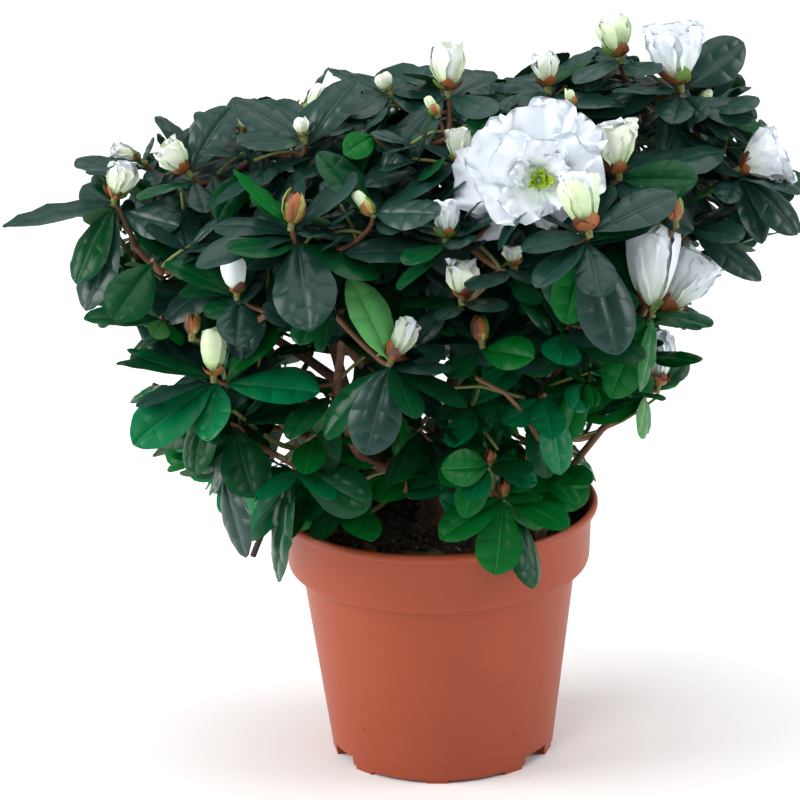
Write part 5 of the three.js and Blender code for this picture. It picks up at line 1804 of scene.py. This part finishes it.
petal_finishes = []
for tint, colours in PETAL_TINTS.items():
    base, tip = (Vector(colour) for colour in colours)
    for step in range(len(PETAL_STEPS) + 1):
        colour = tuple(base.lerp(tip, step / len(PETAL_STEPS)))
        petal_finishes.append((step, PETAL_TONES[tint], finish(f"petal_{tint}_{step}", colour, 0.6, 0.25)))
PETAL_TREE = blade_tree("petals on flowers", petal_finishes)
scale_finishes = [(BLADE_ZONE, SCALE_TONES[tone], material) for tone, material in SCALE_FINISHES.items()]
SCALE_TREE = blade_tree("scales under flowers", scale_finishes)

for name, rows, pattern, frill_share, frills in (
    ("bud_petals", petal_rows, BUD_PETAL_PATTERN, 0.35, 13.0),
    ("open_petals", frilled_rows, FRILLED_PETAL_PATTERN, 0.42, 19.0),
):
    sizes = {"Pattern": pattern, "Ripple scale": 1.1, "Frills": frills, "Frill share": frill_share}
    made = run_tree(blade_points("petal_points", rows), PETAL_TREE, sizes, name)
    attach(made, "root")

sizes = {"Pattern": SCALE_PATTERN, "Ripple scale": 1.5}
scales = run_tree(blade_points("scale_points", scale_rows), SCALE_TREE, sizes, "bud_scales")
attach(scales, "root")

# Wood


def limb_tree(name, finishes):
    """Wood along paths: round, tapered, closed at the ends and roughened by noise."""
    w = geometry_wiring(
        name, ("Sides", "Int", 8), ("Knobbliness", "Float", 0.3), ("Knob scale", "Float", 400.0)
    )
    radius = w.attribute("wood_radius")
    ring = w.add("GeometryNodeCurvePrimitiveCircle", {"Resolution": w.input("Sides"), "Radius": 1})
    curve = w.add("GeometryNodeMeshToCurve", {"Mesh": w.input("Geometry")})
    swept = {"Curve": curve, "Profile Curve": ring, "Scale": radius, "Fill Caps": True}
    solid = w.add("GeometryNodeCurveToMesh", swept)
    shaken = w.noise(w.add("GeometryNodeInputPosition"), w.input("Knob scale"), 3.0) - 0.5
    push = shaken * w.input("Knobbliness") * radius
    shown = w.real(w.smooth(w.moved(solid, Offset=w.scaled(w.add("GeometryNodeInputNormal"), push))))
    for age, material in enumerate(finishes):
        shown = w.painted(shown, material, w.near(w.attribute("age"), age))
    w.end(Geometry=shown)
    return w


def limb_points(name, rows):
    """Paths as a mesh of edges. Rows: path, radius at each point, age."""
    vertices, edges, radii, ages = [], [], [], []
    for path, widths, age in rows:
        start = len(vertices)
        vertices.extend(point * MM for point in path)
        edges.extend((start + i, start + i + 1) for i in range(len(path) - 1))
        radii.extend(width * MM for width in widths)
        ages.extend([AGES.index(age)] * len(path))
    mesh = mesh_from(name, vertices, [], edges)
    set_values(mesh, "wood_radius", radii)
    set_values(mesh, "age", ages)
    return link_object(name, mesh)


def tapered(path, start, end):
    return [between(start, end, i / (len(path) - 1)) for i in range(len(path))]


trunk_heights = [TRUNK_FOOT + rise for rise in TRUNK_RISES]
thick_rows = [([trunk_centre(h) for h in trunk_heights], [trunk_radius(h) for h in trunk_heights], "bark")]
for mass in masses:
    widths = tapered(mass.fine_path, mass.root_radius, mass.tip_radius)
    thick_rows.append((mass.fine_path, widths, "bark"))
LIMB_TREE = limb_tree("wood along paths", WOOD_FINISHES)
sizes = {"Sides": 14, "Knobbliness": 0.6, "Knob scale": 300}
wood = run_tree(limb_points("wood_paths", thick_rows), LIMB_TREE, sizes, "trunk_and_boughs")
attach(wood, "root")
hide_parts("trunk", *["bough_" + mass.name for mass in masses])

stub, nub = ([point_behind(spot, STUB_Y) for spot in spots] for spots in (STUB_SPOTS, STUB_NUB))
limbs.append((reach_wood(stub), 1.3, 0.8, "dead"))
limbs.append((nub, 1.2, 0.9, "dead"))
twig_rows = [(path, tapered(path, start, end), age) for path, start, end, age in limbs]
sizes = {"Sides": 7, "Knobbliness": 0.3, "Knob scale": 420}
twigs = run_tree(limb_points("twig_paths", twig_rows), LIMB_TREE, sizes, "twigs")
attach(twigs, "root")

# Pot


def rounded(profile, radius):
    """A profile with each inner corner drawn as a small curve."""
    made = [profile[0]]
    for before, corner, after in zip(profile, profile[1:], profile[2:]):
        a, b, c = Vector(before), Vector(corner), Vector(after)
        room = min(radius, (b - a).length * 0.45, (c - b).length * 0.45)
        start, end = b + (a - b).normalized() * room, b + (c - b).normalized() * room
        made += [tuple(point) for point in curve_points(start, b, end, 3)]
    return [*made, profile[-1]]


def lathe(name, profile, segments):
    """A closed turned form: the profile starts and ends on the axis."""
    vertices, rings = [], []
    for radius, height in profile:
        count = segments if radius >= 1e-6 else 1
        for i in range(count):
            angle = 2 * math.pi * i / segments
            vertices.append((radius * math.cos(angle) * MM, radius * math.sin(angle) * MM, height * MM))
        rings.append(range(len(vertices) - count, len(vertices)))
    faces = []
    for low, high in zip(rings, rings[1:]):
        for i in range(segments):
            j = (i + 1) % segments
            if len(low) == 1:
                faces.append((low[0], high[j], high[i]))
            elif len(high) == 1:
                faces.append((low[i], low[j], high[0]))
            else:
                faces.append((low[i], low[j], high[j], high[i]))
    return link_object(name, mesh_from(name, vertices, faces))


def box_at(width, depth, height, centre, turn):
    ways = (-0.5, 0.5)
    corners = [Vector((x * width, y * depth, z * height)) for x in ways for y in ways for z in ways]
    spin = Quaternion((0, 0, 1), math.radians(turn))
    vertices = [(spin @ (corner + Vector(centre))) * MM for corner in corners]
    faces = [(0, 1, 3, 2), (4, 6, 7, 5), (0, 4, 5, 1), (2, 3, 7, 6), (0, 2, 6, 4), (1, 5, 7, 3)]
    return link_object("cutter", mesh_from("cutter", vertices, faces))


def apply_boolean(thing, cutters, operation):
    for cutter in cutters:
        modifier = thing.modifiers.new("cut", "BOOLEAN")
        modifier.operation = operation
        modifier.solver = "EXACT"
        modifier.object = cutter
    mesh = evaluated_mesh(thing)
    thing.modifiers.clear()
    thing.data = mesh
    for cutter in cutters:
        bpy.data.objects.remove(cutter)


WALL_FLOOR_RADIUS = WALL_EDGE_RADIUS + WALL_FLARE * (POT_FLOOR - WALL_EDGE_HEIGHT)
POT_INSIDE = [
    (RIM_MOUTH_RADIUS, POT_HEIGHT), (RIM_MOUTH_RADIUS - 1.2, POT_HEIGHT - 2),
    (BAND_TOP_RADIUS - POT_WALL, LIP_FOOT - 1), (BAND_FOOT_RADIUS - POT_WALL, BAND_FOOT_HEIGHT),
    (WALL_STEP_RADIUS - POT_WALL + 0.6, BAND_STEP_HEIGHT + POT_WALL),
    (WALL_FLOOR_RADIUS - POT_WALL, POT_FLOOR),
]


def make_pot():
    profile = [
        (0, 0), (PAD_RADIUS, 0), (PAD_RADIUS + 1.2, CHANNEL_HEIGHT),
        (WALL_EDGE_RADIUS - 3, CHANNEL_HEIGHT), (WALL_EDGE_RADIUS - POT_WALL, WALL_EDGE_HEIGHT),
        *POT_OUTSIDE, *POT_INSIDE, (0, POT_FLOOR),
    ]
    made = lathe("flower_pot", rounded(profile, 1.0), POT_SEGMENTS)
    notch = (NOTCH_WIDTH, NOTCH_DEPTH, NOTCH_HEIGHT * 2, (0, -WALL_EDGE_RADIUS - 2, 0))
    apply_boolean(made, [box_at(*notch, turn) for turn in NOTCH_TURNS], "DIFFERENCE")
    height = CHANNEL_HEIGHT + FOOT_SINK
    foot = (FOOT_WIDTH, FOOT_DEPTH, height, (0, -WALL_EDGE_RADIUS + FOOT_DEPTH / 2 + 0.5, height / 2))
    turns = [turn + offset for turn in NOTCH_TURNS for offset in FOOT_OFFSETS]
    apply_boolean(made, [box_at(*foot, turn) for turn in turns], "UNION")
    made.data.shade_smooth()
    made.data.set_sharp_from_angle(angle=SHARP_ANGLE)
    made.data.materials.clear()
    made.data.materials.append(POT_PLASTIC)
    return made


pot = make_pot()
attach(pot, "root")
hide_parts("pot")

# Compost: the height above which it's rough and by how much, the least and greatest size of a crumb, its
# turns in radians, and the draw above which it's a fibre or a pale grain
SOIL_TOP = SOIL_HEIGHT - 4
SOIL_LUMPS = 8
CRUMB_SIZES = ((0.35, 0.35, 0.3), (1.6, 1.2, 0.9))
CRUMB_TURNS = (6.28, 6.28, 6.28)
CRUMB_KINDS = ((0.72, PEAT_BIT), (0.965, PALE_BIT))


def soil_tree():
    """Roughens the top of the compost and scatters crumbs over it."""
    w = geometry_wiring(
        "compost crumbs", ("Crumbs per square metre", "Float", 300000.0), ("Crumb size", "Float", 0.0011),
        ("Seed", "Int", 7),
    )
    position = w.add("GeometryNodeInputPosition")
    height = w.add("ShaderNodeSeparateXYZ", {0: position}, 2)
    on_top = w.math("GREATER_THAN", height, SOIL_TOP * MM)
    lift = (w.noise(position, 95.0, 3.0) - 0.55) * on_top * (SOIL_LUMPS * MM)
    body = w.moved(w.input("Geometry"), Offset=w.add("ShaderNodeCombineXYZ", {2: lift}))
    density, seed = w.input("Crumbs per square metre"), w.input("Seed")
    spread = {"Mesh": body, "Selection": on_top, "Density": density, "Seed": seed}
    points = w.add("GeometryNodeDistributePointsOnFaces", spread, "Points")
    crumb = w.add("GeometryNodeMeshIcoSphere", {"Subdivisions": 1, "Radius": w.input("Crumb size")}, "Mesh")
    size = w.add("FunctionNodeRandomValue", dict(enumerate(CRUMB_SIZES)), data_type="FLOAT_VECTOR")
    turn = w.add("FunctionNodeRandomValue", {1: CRUMB_TURNS}, data_type="FLOAT_VECTOR")
    placed = {"Points": points, "Instance": crumb, "Scale": size, "Rotation": turn}
    crumbs = w.add("GeometryNodeInstanceOnPoints", placed)
    kind = w.add("FunctionNodeRandomValue", out=1, data_type="FLOAT")
    named = {"Geometry": crumbs, "Name": "tone", "Value": kind}
    crumbs = w.add("GeometryNodeStoreNamedAttribute", named, data_type="FLOAT", domain="INSTANCE")
    shown = w.painted(w.real(crumbs), PEAT)
    for least, material in CRUMB_KINDS:
        shown = w.painted(shown, material, w.math("GREATER_THAN", w.attribute("tone"), least))
    joined = w.tree.nodes.new("GeometryNodeJoinGeometry")
    w.link(w.painted(body, PEAT), joined.inputs[0])
    w.link(shown, joined.inputs[0])
    w.end(Geometry=Value(w, joined.outputs[0]))
    return w


def make_soil():
    foot = POT_FLOOR + GAP
    inside = [(r - GAP, h) for r, h in reversed(POT_INSIDE) if h < SOIL_HEIGHT]
    edge = BAND_TOP_RADIUS - POT_WALL - GAP - 0.4
    tops = [(edge * s, SOIL_HEIGHT - SOIL_DISH * s**2) for s in np.linspace(1, 0.04, SOIL_RINGS)]
    profile = [(0, foot), (inside[0][0], foot), *inside[1:], *tops, (0, SOIL_HEIGHT)]
    return lathe("compost_form", profile, SOIL_SEGMENTS)


soil = run_tree(make_soil(), soil_tree(), {"Seed": 7}, "compost")
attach(soil, "root")
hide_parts("root_ball")

# Litter on the compost: dead leaves, bits of them and one pale narrow leaf, as turn about the axis,
# distance from it, length, breadth, heading and kind
LITTER = [
    (-12, 42, 16, 6, 60, 0), (-2, 38, 13, 6, 150, 0), (-8, 50, 18, 9, 95, 1), (58, 48, 9, 5, 20, 0),
    (66, 44, 8, 4, 110, 0), (52, 40, 11, 5, 200, 0), (60, 52, 17, 2.2, 62, 2), (14, 46, 10, 5, 300, 0),
    (-40, 44, 13, 6, 10, 0), (30, 50, 9, 4, 240, 0), (120, 40, 14, 6, 130, 0), (190, 45, 15, 7, 80, 1),
    (240, 40, 12, 5, 330, 0), (-75, 46, 12, 5, 45, 0), (160, 30, 10, 5, 15, 0), (5, 24, 12, 5, 190, 0),
]
litter_finishes = [
    (zone, number, material)
    for zone in range(len(PETAL_STEPS) + 1)
    for number, material in enumerate(LITTER_FINISHES)
]
LITTER_TREE = blade_tree("litter on compost", litter_finishes)


def scatter_litter():
    random = seeded(LITTER_SEED)
    rows = []
    for turn, distance, length, breadth, heading, kind in LITTER:
        lie = around(turn, distance, SOIL_HEIGHT + 0.6)
        way = around(heading, 1, 0)
        along = Vector((way.x, way.y, between(0.02, 0.16, random()))).normalized()
        face = (UP - along * along.z).normalized()
        curl = between(-90, 60, random())
        arch = 0.6 * random()
        rows.append(Blade(lie - along * length / 2, along, face, length, breadth, arch, curl, 0.5, 2, kind))
    return blade_points("litter_points", rows)


sizes = {"Pattern": BUD_PETAL_PATTERN, "Ripple scale": 1.2}
litter = run_tree(scatter_litter(), LITTER_TREE, sizes, "compost_litter")
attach(litter, "root")

for pattern in (LEAF_PATTERN, BROAD_PATTERN, BUD_PETAL_PATTERN, FRILLED_PETAL_PATTERN, SCALE_PATTERN):
    bpy.data.objects.remove(pattern)

# Camera, floor and light: each softbox's name, place, size and power, in metres and watts
SOFTBOXES = [
    ("top softbox", (0.1, 0.1, 2.2), 3.0, 50), ("key softbox", (-0.9, -1.9, 1.7), 0.8, 12),
    ("left softbox", (-1.7, -0.2, 0.9), 1.1, 30), ("right softbox", (1.7, -0.2, 0.8), 1.0, 15),
]
SOFTBOX_AIM = Vector((0, 0, 0.17))
FLOOR_REACH = 9


def turned(thing, place, turn):
    thing.location = place
    thing.rotation_mode = "QUATERNION"
    thing.rotation_quaternion = turn


def set_up_camera():
    camera_data = bpy.data.cameras.new("photographer")
    camera_data.sensor_width = SENSOR_WIDTH
    camera_data.lens = LENS_REACH * SENSOR_WIDTH / FRAME_SIZE
    camera = link_object("photographer", camera_data)
    axes = Matrix((VIEW_RIGHT, VIEW_UP, -VIEW_AHEAD)).transposed()
    turned(camera, VIEW_EYE * MM, axes.to_quaternion())
    bpy.context.scene.camera = camera


def studio():
    ways = ((-1, -1), (1, -1), (1, 1), (-1, 1))
    floor_mesh = mesh_from("floor", [(x * FLOOR_REACH, y * FLOOR_REACH, 0) for x, y in ways], [(0, 1, 2, 3)])
    floor = link_object("floor", floor_mesh)
    floor_mesh.materials.append(finish("floor_white", (0.95, 0.95, 0.95), 0.8, 0.1))
    world = bpy.data.worlds.new("studio")
    world.use_nodes = True
    background = world.node_tree.nodes["Background"]
    background.inputs["Color"].default_value = (0.98, 0.99, 1.0, 1)
    background.inputs["Strength"].default_value = 0.36
    bpy.context.scene.world = world
    for name, place, size, power in SOFTBOXES:
        lamp = bpy.data.lights.new(name, "AREA")
        lamp.size = size
        lamp.energy = power
        aim = SOFTBOX_AIM - Vector(place)
        turned(link_object(name, lamp), place, aim.to_track_quat("-Z", "Y"))
    bpy.context.scene.view_settings.view_transform = "Standard"


set_up_camera()
studio()
